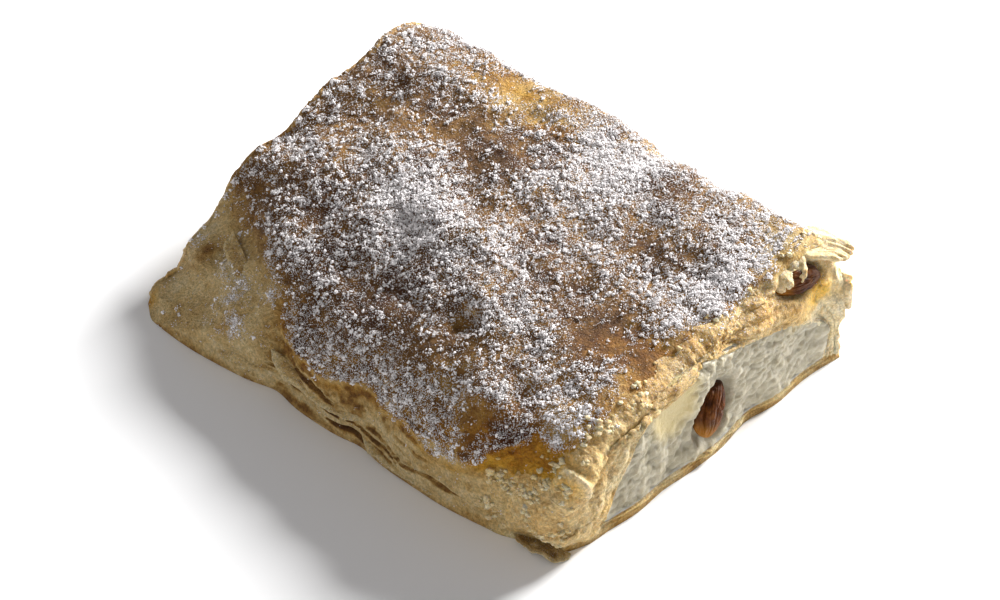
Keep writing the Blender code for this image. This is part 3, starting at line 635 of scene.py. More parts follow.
def noise(tree, place, scale, detail, roughness):
    """A noise texture's value, 0 to 1."""
    return new_node(tree, "ShaderNodeTexNoise", Vector=place, Scale=scale, Detail=detail,
                    Roughness=roughness).outputs[0]


def bumped(tree, strength, distance, height):
    """The normal, bumped by a height; the distance is in metres."""
    return new_node(tree, "ShaderNodeBump", Strength=strength, Distance=distance, Height=height).outputs[0]


def scaled(tree, value, factor, offset):
    """A value times a factor plus an offset."""
    return new_node(tree, "ShaderNodeMath", {"operation": "MULTIPLY_ADD"},
                    i0=value, i1=factor, i2=offset).outputs[0]


def ramp_node(tree, factor, stops):
    """A colour ramp through (place, colour) stops."""
    node = new_node(tree, "ShaderNodeValToRGB", Fac=factor)
    elements = node.color_ramp.elements
    while len(elements) < len(stops):
        elements.new(0.5)
    for element, (place, colour) in zip(elements, stops):
        element.position = place
        element.color = (*colour, 1.0)
    return node.outputs["Color"]


def mixed(tree, factor, first, second, blend="MIX"):
    """A colour mix of two colours or outputs."""
    settings = {"data_type": "RGBA", "blend_type": blend, "clamp_factor": True}
    node = new_node(tree, "ShaderNodeMix", settings, i0=factor)
    for index, value in ((6, first), (7, second)):
        if isinstance(value, bpy.types.NodeSocket):
            tree.links.new(value, node.inputs[index])
        else:
            node.inputs[index].default_value = (*value, 1.0)
    return node.outputs[2]


def arithmetic(tree, operation, first, second):
    """A Math node on two values or outputs, clamped to 0 to 1."""
    settings = {"operation": operation, "use_clamp": True}
    return new_node(tree, "ShaderNodeMath", settings, i0=first, i1=second).outputs[0]


def dough_grain_group():
    """Fine grain of baked dough: mottle and speckle values, a mask of dust grains, a bumped normal."""
    group = bpy.data.node_groups.new("dough_grain", "ShaderNodeTree")
    for name, default in (("Dust", 0.0), ("Bump", 0.3)):
        socket = group.interface.new_socket(name, in_out="INPUT", socket_type="NodeSocketFloat")
        socket.default_value = default
    for name in ("Mottle", "Speckle", "Dusted"):
        group.interface.new_socket(name, in_out="OUTPUT", socket_type="NodeSocketFloat")
    group.interface.new_socket("Normal", in_out="OUTPUT", socket_type="NodeSocketVector")
    start = group.nodes.new("NodeGroupInput")
    end = group.nodes.new("NodeGroupOutput")
    place = object_place(group)
    fine = noise(group, place, 1700.0, 5.0, 0.7)
    speckle = new_node(group, "ShaderNodeMapRange", i0=fine, i1=0.34, i2=0.66, i3=0.58, i4=1.22)
    grains = new_node(group, "ShaderNodeTexVoronoi", Vector=place, Scale=2900.0)
    uneven = scaled(group, fine, 0.5, grains.outputs["Distance"])
    threshold = scaled(group, start.outputs["Dust"], 0.56, 0.28)
    inner = new_node(group, "ShaderNodeMath", {"operation": "SUBTRACT"}, i0=threshold, i1=0.07)
    dusted = new_node(group, "ShaderNodeMapRange", i0=uneven, i1=threshold, i2=inner.outputs[0])
    height = scaled(group, dusted.outputs[0], 0.25, fine)
    fill(group, end, Mottle=noise(group, place, 620.0, 7.0, 0.75), Speckle=speckle.outputs[0],
         Dusted=dusted.outputs[0], Normal=bumped(group, start.outputs["Bump"], 0.0016, height))
    return group


dough_grain = dough_grain_group()
DOUGH_TONES = (
    (0.00, (0.82, 0.72, 0.50)),
    (0.16, (0.74, 0.60, 0.34)),
    (0.34, (0.63, 0.46, 0.215)),
    (0.50, (0.47, 0.30, 0.105)),
    (0.66, (0.30, 0.160, 0.042)),
    (0.82, (0.165, 0.080, 0.022)),
    (1.00, (0.09, 0.034, 0.009)),
)


def dough_material(name, bump, subsurface, depth, roughness, specular):
    """
    Baked dough: the brown attribute picks a tone, mottled; amber makes it see-through golden,
    shade paints shade into the slits and the corner flap's inside, moist lets more light
    through, and sugar lays powder on it. The depth that light goes in is in metres.
    """
    made, tree, shader = new_material(name)
    values = {key: attribute(tree, key) for key in ("brown", "sugar", "shade", "amber", "moist")}
    grain_node = new_node(tree, "ShaderNodeGroup", {"node_tree": dough_grain}, Bump=bump,
                          Dust=values["sugar"])
    shifted = scaled(tree, grain_node.outputs["Mottle"], 0.90, -0.45)
    tone = arithmetic(tree, "ADD", values["brown"], shifted)
    colour = ramp_node(tree, tone, DOUGH_TONES)
    colour = mixed(tree, values["amber"], colour, (0.94, 0.66, 0.14), "MULTIPLY")
    # Painted shade: the shade attribute darkens the slits and the corner flap's inside towards this dark
    # brown.
    colour = mixed(tree, values["shade"], colour, (0.12, 0.070, 0.018))
    colour = mixed(tree, 1.0, colour, grain_node.outputs["Speckle"], "MULTIPLY")
    colour = mixed(tree, grain_node.outputs["Dusted"], colour, (0.86, 0.84, 0.84))
    weight = scaled(tree, values["moist"], 0.75 - subsurface, subsurface)
    fill(tree, shader, Base_Color=colour, Normal=grain_node.outputs["Normal"], Roughness=roughness,
         Specular_IOR_Level=specular, Subsurface_Weight=weight,
         Subsurface_Radius=(1.0, 0.80, 0.60), Subsurface_Scale=depth)
    return made


baked_dough = dough_material("baked_dough", 0.8, 0.12, 0.0015, 0.60, 0.22)
wrapper.data.materials.append(baked_dough)
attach(wrapper, "root")
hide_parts("pastry")

# ------------------------ the crumbly dough of the cuts
# Where the log was cut the moist dough crumbled: a thin layer of soft beads runs from the rim
# of the crust over the torn wall to the curd. Each cut has one, a closed shell that is raised
# where the dough crumbled and dips under the wrapper elsewhere.
LAYER_DEPTH = 0.7


def resampled(grid, rows, columns):
    """A grid of values read at fractional row and column numbers, blended between neighbours."""
    i = np.clip(rows.astype(int), 0, grid.shape[0] - 2)
    j = np.clip(columns.astype(int), 0, grid.shape[1] - 2)
    a, b = (rows - i)[..., None], (columns - j)[..., None]
    return ((grid[i, j] * (1 - b) + grid[i, j + 1] * b) * (1 - a)
            + (grid[i + 1, j] * (1 - b) + grid[i + 1, j + 1] * b) * a)


def grid_normals(grid):
    """Unit normals of an open grid of points: the cross product of its two directions."""
    normal = np.cross(np.gradient(grid, axis=0), np.gradient(grid, axis=1))
    return normal / np.maximum(np.linalg.norm(normal, axis=2, keepdims=True), 1e-6)


def grid_quads(index):
    """Quads over a grid of point numbers."""
    corners = index[:-1, :-1], index[:-1, 1:], index[1:, 1:], index[1:, :-1]
    return np.stack(corners, axis=-1).reshape(-1, 4)


def sheet_shell(middle, normal, thickness):
    """
    A closed thin shell: two copies of a grid of points, half the thickness either side of it
    along the normal, joined along their four borders.
    """
    rows, columns = middle.shape[:2]
    count = rows * columns
    half = normal * thickness / 2
    points = np.concatenate((middle + half, middle - half)).reshape(-1, 3)
    index = np.arange(count).reshape(rows, columns)
    upper = grid_quads(index)
    lower = upper[:, ::-1] + count
    border = np.concatenate((index[0, :-1], index[:-1, -1], index[-1, :0:-1], index[:0:-1, 0]))
    following = np.roll(border, -1)
    rim = np.stack((following, border, border + count, following + count), axis=-1)
    return points, np.concatenate((upper, lower, rim))


def crumb_layer(on_skin, on_wall, columns, reach, bare):
    """
    The shell over a cut, from rings of the skin and rings of the wall: its outer side follows
    them, raised by round beads of three sizes within reach of the cut and along the wall, but
    not where bare; its colour is paler on the beads than between them, painted shade in the
    hollows between the beads.
    """
    rings = np.concatenate((on_skin, on_wall))[:, 2:CRUST_POINTS - 2]
    rows = np.concatenate((np.arange(len(on_skin)), len(on_skin) - 0.5 + np.arange(2 * len(on_wall)) / 2))
    places = np.meshgrid(rows, np.linspace(0, rings.shape[1] - 1, columns), indexing="ij")
    base = resampled(rings, *places)
    normal = grid_normals(base) * np.sign(np.mean(on_skin[:, 0, 0]))
    x, y, z = np.moveaxis(base, -1, 0)
    inward = np.linalg.norm(base[len(on_skin) - 1][None] - base, axis=2)
    onto_skin = (inward + 1.2 * grain(x, y, z, 2.2, 65)) / np.interp(y, *reach)
    wall = (places[0] > len(on_skin) - 1).astype(float)
    raised = np.maximum(smoothstep(1.2, 0.8, onto_skin), wall)
    raised = np.maximum(raised, torn_away(x, y, z)) * (1 - bare(x, y, z))
    ends = smoothstep(len(rows) - 1, len(rows) - 3.5, np.arange(len(rows)))[:, None]
    ends = ends * smoothstep(0, 3, np.arange(len(rows)))[:, None] * smoothstep(0.4, 2.2, z)
    large, small = cells(x, y, z, 1.25, 66), cells(x, y, z, 0.7, 67)
    beads = 0.26 * (0.62 - large) + 0.26 * (0.62 - small) + 0.14 * grain(x, y, z, 0.45, 68)
    patchy = 0.35 + 0.75 * smoothstep(-0.4, 0.5, grain(x, y, z, 4, 69))
    outer = -0.30 + raised * ends * (0.48 + beads * patchy)
    points, faces = sheet_shell(base + normal * ((outer - LAYER_DEPTH) / 2)[..., None], normal,
                                (outer + LAYER_DEPTH)[..., None])
    rind = smoothstep(0.0, 1.4, onto_skin) * (1 - wall)
    # Painted shade: browner away from the bead middles, in the hollows between the beads.
    brown = 0.27 + 0.10 * rind + 0.05 * wall + 0.18 * (large - 0.5) + 0.14 * (small - 0.5)
    brown = brown + 0.10 * grain(x, y, z, 4, 70)
    return points, faces, base, normal, brown


def bare_near_cut(x, y, z):
    """Where the near cut's crumbs leave the crust bare: at the upper raisin and in the front hollow."""
    hollow = hill(x, z, (45.5, 19.8, 7, 3.2, 1.3)) * smoothstep(-29, -34, y)
    return np.maximum(raisin_seat(y, z, "raisin_upper") * smoothstep(54, 55, x), hollow).clip(0, 1)


near_rim = np.array([placed(*tunnel_section(1.0, shrink, CRUST_POINTS, FOOT_POINTS), 1.0)
                     for shrink in (0.5, 1.3)])
points, faces, near_base, near_normals, brown = crumb_layer(
    skin[-45:], np.concatenate((near_rings, near_rim)), 470,
    ((-30, -18, -4, 8, 14), (3.5, 5.0, 7.0, 3.5, 1.2)), bare_near_cut)
arch_y, arch_z = near_base[..., 1] + 35.4, near_base[..., 2] - 15.5
arch = np.exp(-((np.hypot(arch_y / 0.8, arch_z / 1.45) - 3.1) / 0.8) ** 2)
arch = arch * smoothstep(52, 54, near_base[..., 0]) * smoothstep(-3.4, -1.0, arch_z)
half = len(points) // 2
points[:half] = points[:half] + (near_normals * (arch * 0.9)[..., None]).reshape(-1, 3)
x, y, z = np.moveaxis(near_base, -1, 0)
amber = (
    hill(x, z, (45.5, 19.8, 8.5, 3.6, 1.3)) * smoothstep(-29, -34, y)
    + hill(y, z, (37, 22, 4, 4, 0.60))
    + hill(y, z, (20, 25, 3, 3, 0.45))
    + 0.26 + 0.38 * grain(x, y, z, 5, 58)
)
amber = np.clip(amber, 0, 1) * (1 - 0.8 * arch)
# Towards the near back corner, y above 28, the dough is paler and its lower part less amber: painted light
# for the window light that shines through the thin dough there; the arch is paler in its own colour.
brown = brown - 0.15 * arch - 0.24 * smoothstep(28, 34, y)
amber = amber * (1 - 0.9 * smoothstep(30, 36, y) * smoothstep(21, 17, z))
brown = np.clip(brown - 0.08 * smoothstep(-12, -24, y), 0, 1)
dust = 0.14 + 0.24 * smoothstep(20, 27, z)
near_layer = piece("near_cut_crumb", keep_in_box(points), faces,
                   brown=(brown, brown), sugar=(dust, dust), amber=(amber, amber))
moist_dough = dough_material("moist_dough", 0.5, 0.80, 0.0005, 0.45, 0.30)
near_layer.data.materials.append(moist_dough)
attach(near_layer, "root")

far_rim = np.array([placed(*tunnel_section(0.0, shrink, CRUST_POINTS, FOOT_POINTS), 0.0)
                    for shrink in (0.5, 1.3)])
points, faces, far_base, _, brown = crumb_layer(
    skin[:14][::-1], np.concatenate((far_rings[::-1], far_rim)), 400,
    ((-30, 30), (1.0, 0.8)), lambda x, y, z: 0 * y)
amber = np.clip(0.25 + 0.4 * grain(*np.moveaxis(far_base, -1, 0), 5, 59), 0, 1)
brown = brown + 0.30 * smoothstep(16, 20, far_base[..., 2])
brown = np.clip(brown, 0, 1)
far_layer = piece("far_cut_crumb", keep_in_box(points), faces, brown=(brown, brown), amber=(amber, amber))
far_layer.data.materials.append(moist_dough)
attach(far_layer, "root")

# ------------------------ loose leaves
# Bigger leaves that came away when the log was cut: two lobes at the near back corner, a hood
# over the upper raisin, a flap under the near front corner, a lip over the filling, and flakes
# on the cuts, the long sides and the far front slope.


def loose_leaf(root, reach, span, curl, ragged, seed, brown, thickness=0.7):
    """
    A leaf from its root along reach, as wide as span; it curls by curl at the tip, buckles by
    smooth noise, and ends in a ragged rim. All in millimetres.
    """
    root, reach, span, curl = (np.array(value) for value in (root, reach, span, curl))
    u, v = np.meshgrid(np.linspace(0, 1, 30), np.linspace(-1, 1, 44), indexing="ij")
    edge = 1 + ragged * (grain(v * 3, 0 * v, seed, 1.0, 71) + 0.5 * grain(v * 9, 0 * v, seed, 1.0, 72))
    half = 0.5 * (1 - 0.35 * u ** 2) * (1 + 0.5 * ragged * grain(u * 5, 0 * v, seed, 1.0, 73))
    face = np.cross(reach, span)
    face = face / np.linalg.norm(face)
    buckle = 0.35 * np.sin(5 * v + seed) * (0.3 + u) + 0.35 * grain(u * 3, v * 3, seed, 1.0, 74)
    buckle = buckle + 0.10 * grain(u * 11, v * 13, seed, 1.0, 75)
    middle = (root + (u * edge)[..., None] * reach + (v * half)[..., None] * span
              + (u ** 2)[..., None] * curl + buckle[..., None] * face)
    rim = np.minimum(1, 5 * (1 - np.abs(v)) + 0.12) * np.minimum(1, 5 * (1 - u) + 0.12)
    depth = thickness * np.sqrt(rim) * (1 + 0.25 * grain(u * 6, v * 8, seed, 1.0, 76))
    points, faces = sheet_shell(middle, np.broadcast_to(face, middle.shape), depth[..., None])
    tint = brown + 0.10 * grain(u * 4, v * 4, seed, 1.0, 77)
    tint = tint - np.clip(brown - 0.15, 0, 0.35) * smoothstep(0.72, 0.95, np.maximum(u, np.abs(v)))
    return points, faces, np.clip(np.tile(tint.ravel(), 2), 0, 1)


LOOSE_LEAVES = {
    "corner_flap": ((50.0, -36.5, 0.5), (2.2, -4.6, 0), (13.5, 1.5, 0), (0, 0, 0.9), 0.12, 0.42),
    "upper_lobe": ((50.5, 39.2, 30.4), (7.8, 5.4, 0.6), (-5.5, 9.5, -1), (0.3, 0.3, -2.0), 0.24, 0.12, 1.7),
    "lower_lobe": ((51.5, 40.8, 17.9), (8.8, 5.4, 0.4), (-1.0, 1.8, 10.5), (0.4, 0.3, 0), 0.14, 0.04, 1.7),
    "raisin_hood": ((51.8, 30.8, 30.8), (4.5, -0.8, -1.9), (1.5, 10.0, 1.6), (0, 0, -0.6), 0.35, 0.12, 1.5),
    "fold_lip": ((51.5, 20, 24.6), (5.6, -0.5, -1.6), (0.5, 14, 0.5), (0, 0, 0.8), 0.12, 0.10),
    "front_curl": ((53, -30.5, 13), (4.6, -2.5, 0), (0.5, 1.5, 9), (0, 2.0, 0), 0.16, 0.16, 1.0),
    "low_curl": ((53, -31.8, 5.0), (5, -0.5, 0.5), (0, 6.4, 1.5), (0, 0, 1.4), 0.15, 0.12),
    "facet_leaf": ((-40, -29.5, 15.9), (-1.3, -3.2, -1.9), (15, -7.5, -0.4), (0, 0, -0.2), 0.30, 0.42, 0.6),
    "far_leaf_high": ((-53, 12, 24.0), (-6.6, 1, -0.8), (0, 15, 0.5), (0, 0, 0.6), 0.12, 0.20),
    "far_leaf_low": ((-53, -26, 6.0), (-6.2, -1, 0.4), (0, 9, 3), (0, 0, 0.8), 0.12, 0.20),
    "side_leaf": ((-8, -40.5, 8.6), (2, -3.6, -1.0), (27, 0, -1), (0, 0, -0.6), 0.10, 0.40),
    "foot_leaf": ((17, -39, 2.6), (0, -4.6, -0.8), (26, 0, -0.5), (0, 0, -0.4), 0.08, 0.42),
    "back_leaf": ((10, 40.5, 9.0), (0, 3.8, -1.2), (-30, 0, 1), (0, 0, -0.5), 0.10, 0.40),
}
for seed, (name, values) in enumerate(LOOSE_LEAVES.items()):
    points, faces, tint = loose_leaf(*values[:5], seed, *values[5:])
    # Painted shade: the corner flap's inner part, under the tucked front corner, is darkened.
    shade = 0.45 * smoothstep(0.34, 0.48, tint) if name == "corner_flap" else 0.0
    flake = piece(name, keep_in_box(points), faces, brown=tint, sugar=0.30, shade=shade, amber=0.2)
    flake.data.materials.append(moist_dough if values[5] < 0.3 else baked_dough)
    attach(flake, "root")

# ------------------------ the curd filling
# Sweet curd cheese, set by the oven into a moist, finely lumpy mass, cut through with the log.
# It fills the tunnel; both ends are patches blended between the four sides of the outline.
CURD_CRUST, CURD_FOOT, CURD_SIDE = 362, 150, 105


def end_patch(ring, first, start):
    """
    A patch across a ring, blended between its four sides: side to side plus foot to top, less
    the blend of the corners. first is the ring's first point, start the patch's own.
    """
    turn = CURD_CRUST - 1 - CURD_SIDE
    left = np.arange(0, CURD_SIDE + 1)
    top = np.arange(CURD_SIDE, turn + 1)
    right = np.arange(CURD_CRUST - 1, turn - 1, -1)
    foot = np.arange(len(ring), CURD_CRUST - 2, -1) % len(ring)
    u = np.linspace(0, 1, len(top))[None, :, None]
    v = np.linspace(0, 1, len(left))[:, None, None]
    across = ring[left][:, None] * (1 - u) + ring[right][:, None] * u
    upward = ring[foot][None] * (1 - v) + ring[top][None] * v
    corners = (ring[foot[0]] * (1 - u) + ring[foot[-1]] * u) * (1 - v)
    corners = corners + (ring[top[0]] * (1 - u) + ring[top[-1]] * u) * v
    points = across + upward - corners
    index = np.zeros(points.shape[:2], int)
    index[:, 0], index[:, -1], index[0], index[-1] = (first + side for side in (left, right, foot, top))
    inner = points[1:-1, 1:-1].reshape(-1, 3)
    index[1:-1, 1:-1] = start + np.arange(len(inner)).reshape(index[1:-1, 1:-1].shape)
    return inner, grid_quads(index)


curd_rings = np.array([placed(*tunnel_section(t, 0.2, CURD_CRUST, CURD_FOOT), t)
                       for t in np.linspace(0, 1, 8)])
around = curd_rings.shape[1]
curd_parts = [curd_rings.reshape(-1, 3)]
curd_faces = [ring_quads(len(curd_rings), around, False)]
for direction, k in ((-1, 0), (1, len(curd_rings) - 1)):
    start = sum(len(part) for part in curd_parts)
    inner, quads = end_patch(curd_rings[k], k * around, start)
    x, y, z = inner.T
    x = far_cut(y, z) if direction < 0 else near_cut(y, z)
    lumps = 0.4 * crumple(x, y, z, 7, 17) - 0.3
    lumps = lumps + 0.95 * (0.40 - cells(x, y, z, 2.3, 81) ** 2)
    lumps = lumps + 0.50 * (0.40 - cells(x, y, z, 1.2, 82) ** 2)
    lumps = lumps + 0.16 * grain(x, y, z, 0.8, 83) + 0.10 * grain(x, y, z, 0.4, 84)
    custard = smoothstep(1.25, 0.6, np.hypot((y + 6.5) / 6, (z - 20.5) / 7))
    if direction > 0:
        lumps = lumps * (1 - 0.92 * custard) - 0.9 * custard
        seat = np.maximum(raisin_seat(y, z, "raisin_lower"), raisin_seat(y, z, "raisin_upper"))
        lumps = lumps * (1 - seat) - 3.0 * seat
    inner[:, 0] = x + direction * lumps
    curd_parts.append(inner)
    curd_faces.append(quads if direction > 0 else quads[:, ::-1])
curd_points = keep_in_box(np.concatenate(curd_parts))
x, y, z = curd_points.T
yellow = smoothstep(1.35, 0.7, np.hypot((y + 6.5) / 6.5, (z - 20.5) / 7.5))
yellow = np.maximum(yellow, 0.7 * smoothstep(1.3, 0.6, np.hypot((y - 33) / 6, (z - 20) / 4)))
yellow = np.where(x > 0, yellow, 0.0)
curd = piece("curd", curd_points, np.concatenate(curd_faces), yellow=yellow)

curd_finish, tree, shader = new_material("moist_curd")
place = object_place(tree)
colour = ramp_node(tree, noise(tree, place, 260.0, 5.0, 0.6), (
    (0.30, (0.30, 0.265, 0.175)),
    (0.48, (0.41, 0.365, 0.255)),
    (0.68, (0.57, 0.52, 0.40)),
))
colour = mixed(tree, attribute(tree, "yellow"), colour, (0.66, 0.54, 0.27))
pores = bumped(tree, 0.5, 0.0006, noise(tree, place, 1500.0, 4.0, 0.65))
fill(tree, shader, Base_Color=colour, Normal=pores, Roughness=0.42, Subsurface_Weight=0.60,
     Subsurface_Radius=(1.0, 0.85, 0.65), Subsurface_Scale=0.0020)
curd.data.materials.append(curd_finish)
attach(curd, "root")
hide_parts("curd_filling")

# ------------------------ the raisins
# Two dried grapes, about 12 mm long: a dark, deeply wrinkled skin that goes amber and see-through
# at the thin end. One is pressed into the curd, one lies in the fold above it.
RAISIN_LENGTH = 12.0
RAISIN_WIDTH = 6.6


def raisin_shape(centre, turn, girth, seed):
    """
    An ellipsoid by latitude and longitude, bent a little; its radius carries long wrinkles,
    sines of longitude that wander with latitude, and finer creases.
    """
    rows, columns = 90, 150
    latitude, longitude = np.meshgrid(np.linspace(0, np.pi, rows + 1)[1:-1],
                                      np.linspace(0, 2 * np.pi, columns, endpoint=False), indexing="ij")
    phase = np.random.default_rng(seed).uniform(0, 6, 3)
    wrinkle = 0.075 * np.sin(4 * longitude + 1.5 * np.cos(2 * latitude) + phase[0])
    wrinkle = wrinkle + 0.055 * np.sin(7 * longitude - 2.0 * latitude + phase[1])
    turning = np.cos(longitude), np.sin(longitude)
    crease = np.abs(grain(turning[0] * 3, latitude * 1.4, turning[1] * 3, 1.0, 90 + seed))
    fine = np.abs(grain(turning[0] * 7, latitude * 3.2, turning[1] * 7, 1.0, 95 + seed))
    wrinkle = wrinkle - 0.13 * (1 - np.minimum(1, 4 * crease)) - 0.06 * (1 - np.minimum(1, 4 * fine))
    radius = (1 + wrinkle * np.sin(latitude) ** 0.5) * (1 - 0.10 * np.cos(latitude))
    bend = 0.12 * RAISIN_LENGTH * np.sin(latitude)
    radius = radius * np.sin(latitude) * RAISIN_WIDTH
    points = np.stack((radius * np.cos(longitude) * 0.42, np.cos(latitude) * RAISIN_LENGTH / 2,
                       radius * np.sin(longitude) * girth * 0.5 + bend), axis=-1)
    poles = np.array([[0, RAISIN_LENGTH / 2, 0], [0, -RAISIN_LENGTH / 2, 0]]) * 0.985
    flat = np.concatenate((points.reshape(-1, 3), poles))
    roll, lean = np.radians(turn)
    about_x = np.array([[1, 0, 0], [0, np.cos(roll), -np.sin(roll)], [0, np.sin(roll), np.cos(roll)]])
    about_z = np.array([[np.cos(lean), -np.sin(lean), 0], [np.sin(lean), np.cos(lean), 0], [0, 0, 1]])
    amber = smoothstep(-0.25, -0.9, flat[:, 1] / (RAISIN_LENGTH / 2))
    flat = flat @ about_z.T @ about_x.T + np.array(centre)
    quads = ring_quads(rows - 1, columns, False)
    pole = (rows - 1) * columns
    j = np.arange(columns)
    k = (j + 1) % columns
    last = (rows - 2) * columns
    fans = np.concatenate((np.stack((j, k, np.full(columns, pole)), axis=-1),
                           np.stack((last + k, last + j, np.full(columns, pole + 1)), axis=-1)))
    triangles = np.concatenate((quads[:, [0, 1, 2]], quads[:, [0, 2, 3]], fans))
    return flat, triangles[:, ::-1], amber


raisin_finish, tree, shader = new_material("raisin_skin")
place = object_place(tree)
colour = ramp_node(tree, noise(tree, place, 420.0, 5.0, 0.6), (
    (0.34, (0.035, 0.009, 0.002)),
    (0.52, (0.095, 0.027, 0.004)),
    (0.72, (0.21, 0.070, 0.010)),
))
colour = mixed(tree, attribute(tree, "amber"), colour, (0.30, 0.12, 0.012))
creases = bumped(tree, 0.4, 0.0004, noise(tree, place, 1400.0, 4.0, 0.6))
fill(tree, shader, Base_Color=colour, Normal=creases, Roughness=0.45, Specular_IOR_Level=0.14,
     Subsurface_Weight=0.15, Subsurface_Radius=(1.0, 0.35, 0.08), Subsurface_Scale=0.0015)
for name, (centre, turn, girth, seed) in RAISIN_PLACES.items():
    points, faces, amber = raisin_shape(centre, turn, girth, seed)
    raisin = piece("wrinkled_" + name, keep_in_box(points), faces, amber=amber)
    raisin.data.materials.append(raisin_finish)
    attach(raisin, "root")
    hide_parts(name)

# ------------------------ the icing sugar
# Icing sugar sieved over the baked crust: fine powder, grains and small soft clumps that lie
# where the sieve dropped them. Every grain is a small faceted lump, pressed a little into the crust.
GOLDEN = (1 + 5 ** 0.5) / 2
LUMP_CORNERS = np.array([(-1, GOLDEN, 0), (1, GOLDEN, 0), (-1, -GOLDEN, 0), (1, -GOLDEN, 0),
                         (0, -1, GOLDEN), (0, 1, GOLDEN), (0, -1, -GOLDEN), (0, 1, -GOLDEN),
                         (GOLDEN, 0, -1), (GOLDEN, 0, 1), (-GOLDEN, 0, -1), (-GOLDEN, 0, 1)])
LUMP_CORNERS = LUMP_CORNERS / np.linalg.norm(LUMP_CORNERS[0])
LUMP_FACES = np.array([(0, 11, 5), (0, 5, 1), (0, 1, 7), (0, 7, 10), (0, 10, 11), (1, 5, 9), (5, 11, 4),
                       (11, 10, 2), (10, 7, 6), (7, 1, 8), (3, 9, 4), (3, 4, 2), (3, 2, 6), (3, 6, 8),
                       (3, 8, 9), (4, 9, 5), (2, 4, 11), (6, 2, 10), (8, 6, 7), (9, 8, 1)])
GRAIN_CORNERS = np.array([(1, 0, 0), (-1, 0, 0), (0, 1, 0), (0, -1, 0), (0, 0, 1), (0, 0, -1)], float)
GRAIN_FACES = np.array([(0, 2, 4), (2, 1, 4), (1, 3, 4), (3, 0, 4),
                        (2, 0, 5), (1, 2, 5), (3, 1, 5), (0, 3, 5)])
SPECK_CORNERS = np.array([(1, 1, 1), (1, -1, -1), (-1, 1, -1), (-1, -1, 1)]) / np.sqrt(3)
SPECK_FACES = np.array([(0, 1, 2), (0, 2, 3), (0, 3, 1), (1, 3, 2)])


def finer(corners, faces):
    """Splits each face of a ball in four, with the new corners on the unit sphere."""
    edges = np.sort(np.concatenate((faces[:, [0, 1]], faces[:, [1, 2]], faces[:, [2, 0]])), axis=1)
    unique, index = np.unique(edges, axis=0, return_inverse=True)
    middles = corners[unique].sum(axis=1)
    middles = middles / np.linalg.norm(middles, axis=1, keepdims=True)
    a, b, c = index.reshape(3, -1) + len(corners)
    split = [np.stack(corner, axis=-1) for corner in (
        (faces[:, 0], a, c), (faces[:, 1], b, a), (faces[:, 2], c, b), (a, b, c))]
    return np.concatenate((corners, middles)), np.concatenate(split)


def heap(corners, faces, places, radii, rng, rough, flat=1.0):
    """Copies of a ball at places, each turned, sized and dented at random, as one set of arrays."""
    count = len(places)
    quaternion = rng.normal(size=(count, 4))
    w, x, y, z = (quaternion / np.linalg.norm(quaternion, axis=1, keepdims=True)).T
    turn = np.array([[1 - 2 * (y * y + z * z), 2 * (x * y - z * w), 2 * (x * z + y * w)],
                     [2 * (x * y + z * w), 1 - 2 * (x * x + z * z), 2 * (y * z - x * w)],
                     [2 * (x * z - y * w), 2 * (y * z + x * w), 1 - 2 * (x * x + y * y)]])
    turn = turn.transpose(2, 0, 1)
    dents = rng.uniform(1 - rough, 1 + rough, (count, len(corners), 1))
    stretch = rng.uniform(0.75, 1.25, (count, 1, 3))
    balls = np.einsum("kij,knj->kni", turn, corners[None] * dents * stretch) * (1, 1, flat)
    points = places[:, None] + balls * radii[:, None, None]
    index = faces[None] + (np.arange(count) * len(corners))[:, None, None]
    return points.reshape(-1, 3), index.reshape(-1, 3)


def sieved(count, seed, sharpness, scale, heap_size):
    """
    Random places on the skin, as dense as the sugar cover times cluster noise of that scale.
    With a heap_size above 1 each is the middle of a small heap of that many grains.
    """
    count = count // heap_size
    rng = np.random.default_rng(seed)
    tries = count * 14
    i = rng.uniform(0, SKIN_RINGS - 1.001, tries)
    j = rng.uniform(0, CRUST_POINTS - 1.001, tries)
    low_i, low_j = i.astype(int), j.astype(int)
    points = resampled(skin, i, j)
    x, y, z = points.T
    cluster = 0.22 * grain(x, y, z, 2.6 * scale, 53) + 0.9 * grain(x, y, z, 0.85 * scale, 54)
    cover = skin_sugar[low_i, low_j]
    chance = cover * smoothstep(-sharpness, sharpness, cluster + 1.1 * (cover - 0.60))
    kept = np.repeat(np.flatnonzero(rng.uniform(size=tries) < chance)[:count], heap_size)
    pile = np.clip(cluster[kept], 0, 1) * cover[kept]
    upright = skin_normals[low_i, low_j][kept]
    if heap_size > 1:
        spread = np.repeat(rng.uniform(0.16, 0.42, len(kept) // heap_size), heap_size)[:, None]
        offset = rng.normal(size=(len(kept), 3)) * spread
        offset = offset - (offset * upright).sum(axis=1, keepdims=True) * upright
        away = np.linalg.norm(offset, axis=1, keepdims=True) / spread
        return points[kept] + offset, upright, pile + 0.9 * np.exp(-away[:, 0] ** 2 / 2), rng
    return points[kept], upright, pile, rng


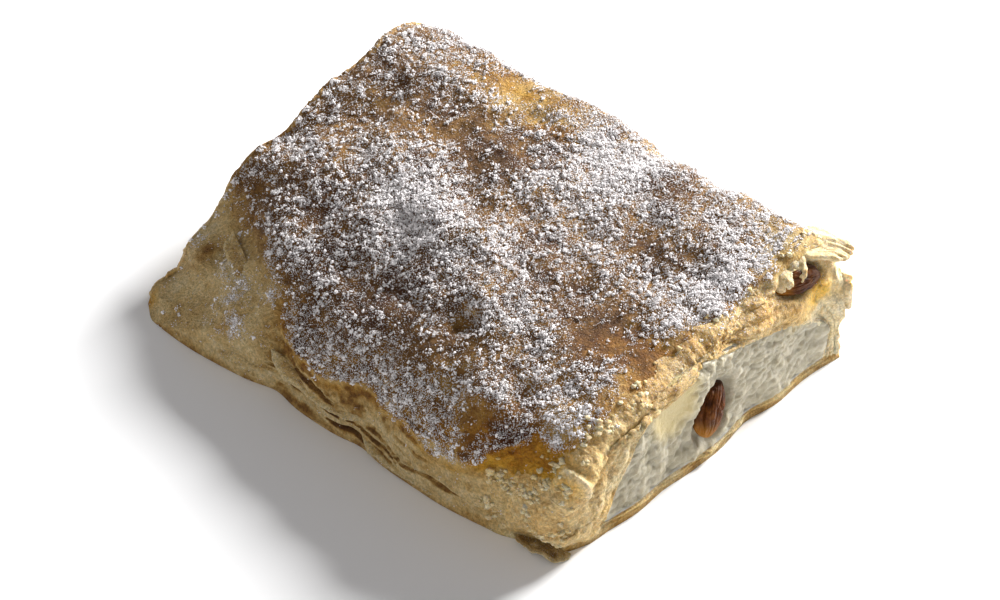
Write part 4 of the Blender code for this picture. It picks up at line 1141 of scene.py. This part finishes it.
sugar_finish, tree, shader = new_material("icing_sugar")
place = object_place(tree)
tint = noise(tree, place, 700.0, 3.0, 0.5)
colour = ramp_node(tree, tint, ((0.35, (0.87, 0.83, 0.82)), (0.65, (0.96, 0.93, 0.93))))
powder = bumped(tree, 0.6, 0.00025, noise(tree, place, 4200.0, 3.0, 0.7))
fill(tree, shader, Base_Color=colour, Normal=powder, Roughness=0.9, Specular_IOR_Level=0.2)
BALL_CORNERS, BALL_FACES = finer(LUMP_CORNERS, LUMP_FACES)
for name, corners, faces, count, seed, sizes, sharpness, scale, stack, heap_size in (
    ("sugar_dust", SPECK_CORNERS, SPECK_FACES, 49500, 101, (0.08, 0.14), 0.90, 1.0, 0.2, 1),
    ("sugar_powder", SPECK_CORNERS, SPECK_FACES, 49500, 105, (0.11, 0.19), 0.90, 1.0, 0.4, 3),
    ("sugar_grains", GRAIN_CORNERS, GRAIN_FACES, 19000, 104, (0.13, 0.21), 0.40, 1.0, 0.5, 10),
    ("sugar_crumbs", LUMP_CORNERS, LUMP_FACES, 8400, 102, (0.15, 0.25), 0.35, 1.0, 0.5, 6),
    ("sugar_clumps", BALL_CORNERS, BALL_FACES, 1300, 103, (0.20, 0.34), 0.30, 1.2, 0.4, 1),
):
    places, directions, pile, rng = sieved(count, seed, sharpness, scale, heap_size)
    radii = rng.uniform(*sizes, len(places))
    lift = radii * 0.35 + pile * stack * rng.uniform(0, 1, len(places))
    centres = places + directions * lift[:, None]
    inside = centres[:, 2] + 1.5 * radii < HIGH[2]
    points, index = heap(corners, faces, centres[inside], radii[inside], rng, 0.28)
    sugar = piece(name, keep_in_box(points), index)
    sugar.data.materials.append(sugar_finish)
    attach(sugar, "root")

# ------------------------ crumbs of the torn pastry
# Small moist shreds and crumbs of the inner dough, torn off by the knife, cling to the near front
# corner and along the near cut: dented flat lumps of the same dough, half sunk into it.
CRUMBS = 340
rng = np.random.default_rng(211)
i = rng.uniform(SKIN_RINGS - 90, SKIN_RINGS - 3, CRUMBS * 30)
j = rng.uniform(4, CRUST_POINTS - 4, CRUMBS * 30)
places = resampled(skin, i, j)
x, y, z = places.T
chance = np.maximum(torn_away(x, y, z), 0.6 * smoothstep(50, 55, x)) * smoothstep(2, 4, z)
chance = chance * smoothstep(-0.2, 0.5, grain(x, y, z, 3, 61)) * (1 - raisin_seat(y, z, "raisin_upper"))
chance = chance * (1 - hill(x, z, (45, 19.8, 9, 4, 1.0)) * (y < -28))
kept = np.flatnonzero(rng.uniform(size=len(chance)) < chance)[:CRUMBS]
radii = rng.uniform(0.2, 0.75, len(kept))
centres = places[kept] + skin_normals[i[kept].astype(int), j[kept].astype(int)] * (0.2 * radii[:, None])
points, index = heap(BALL_CORNERS, BALL_FACES, centres, radii, rng, 0.35, 0.7)
each = len(BALL_CORNERS)
tone = np.repeat(rng.uniform(0.0, 0.20, len(kept)), each)
amber = np.repeat(rng.uniform(0, 0.4, len(kept)), each)
crumbs = piece("pastry_crumbs", keep_in_box(points), index, brown=tone, sugar=0.3, amber=amber)
crumbs.data.materials.append(moist_dough)
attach(crumbs, "root")
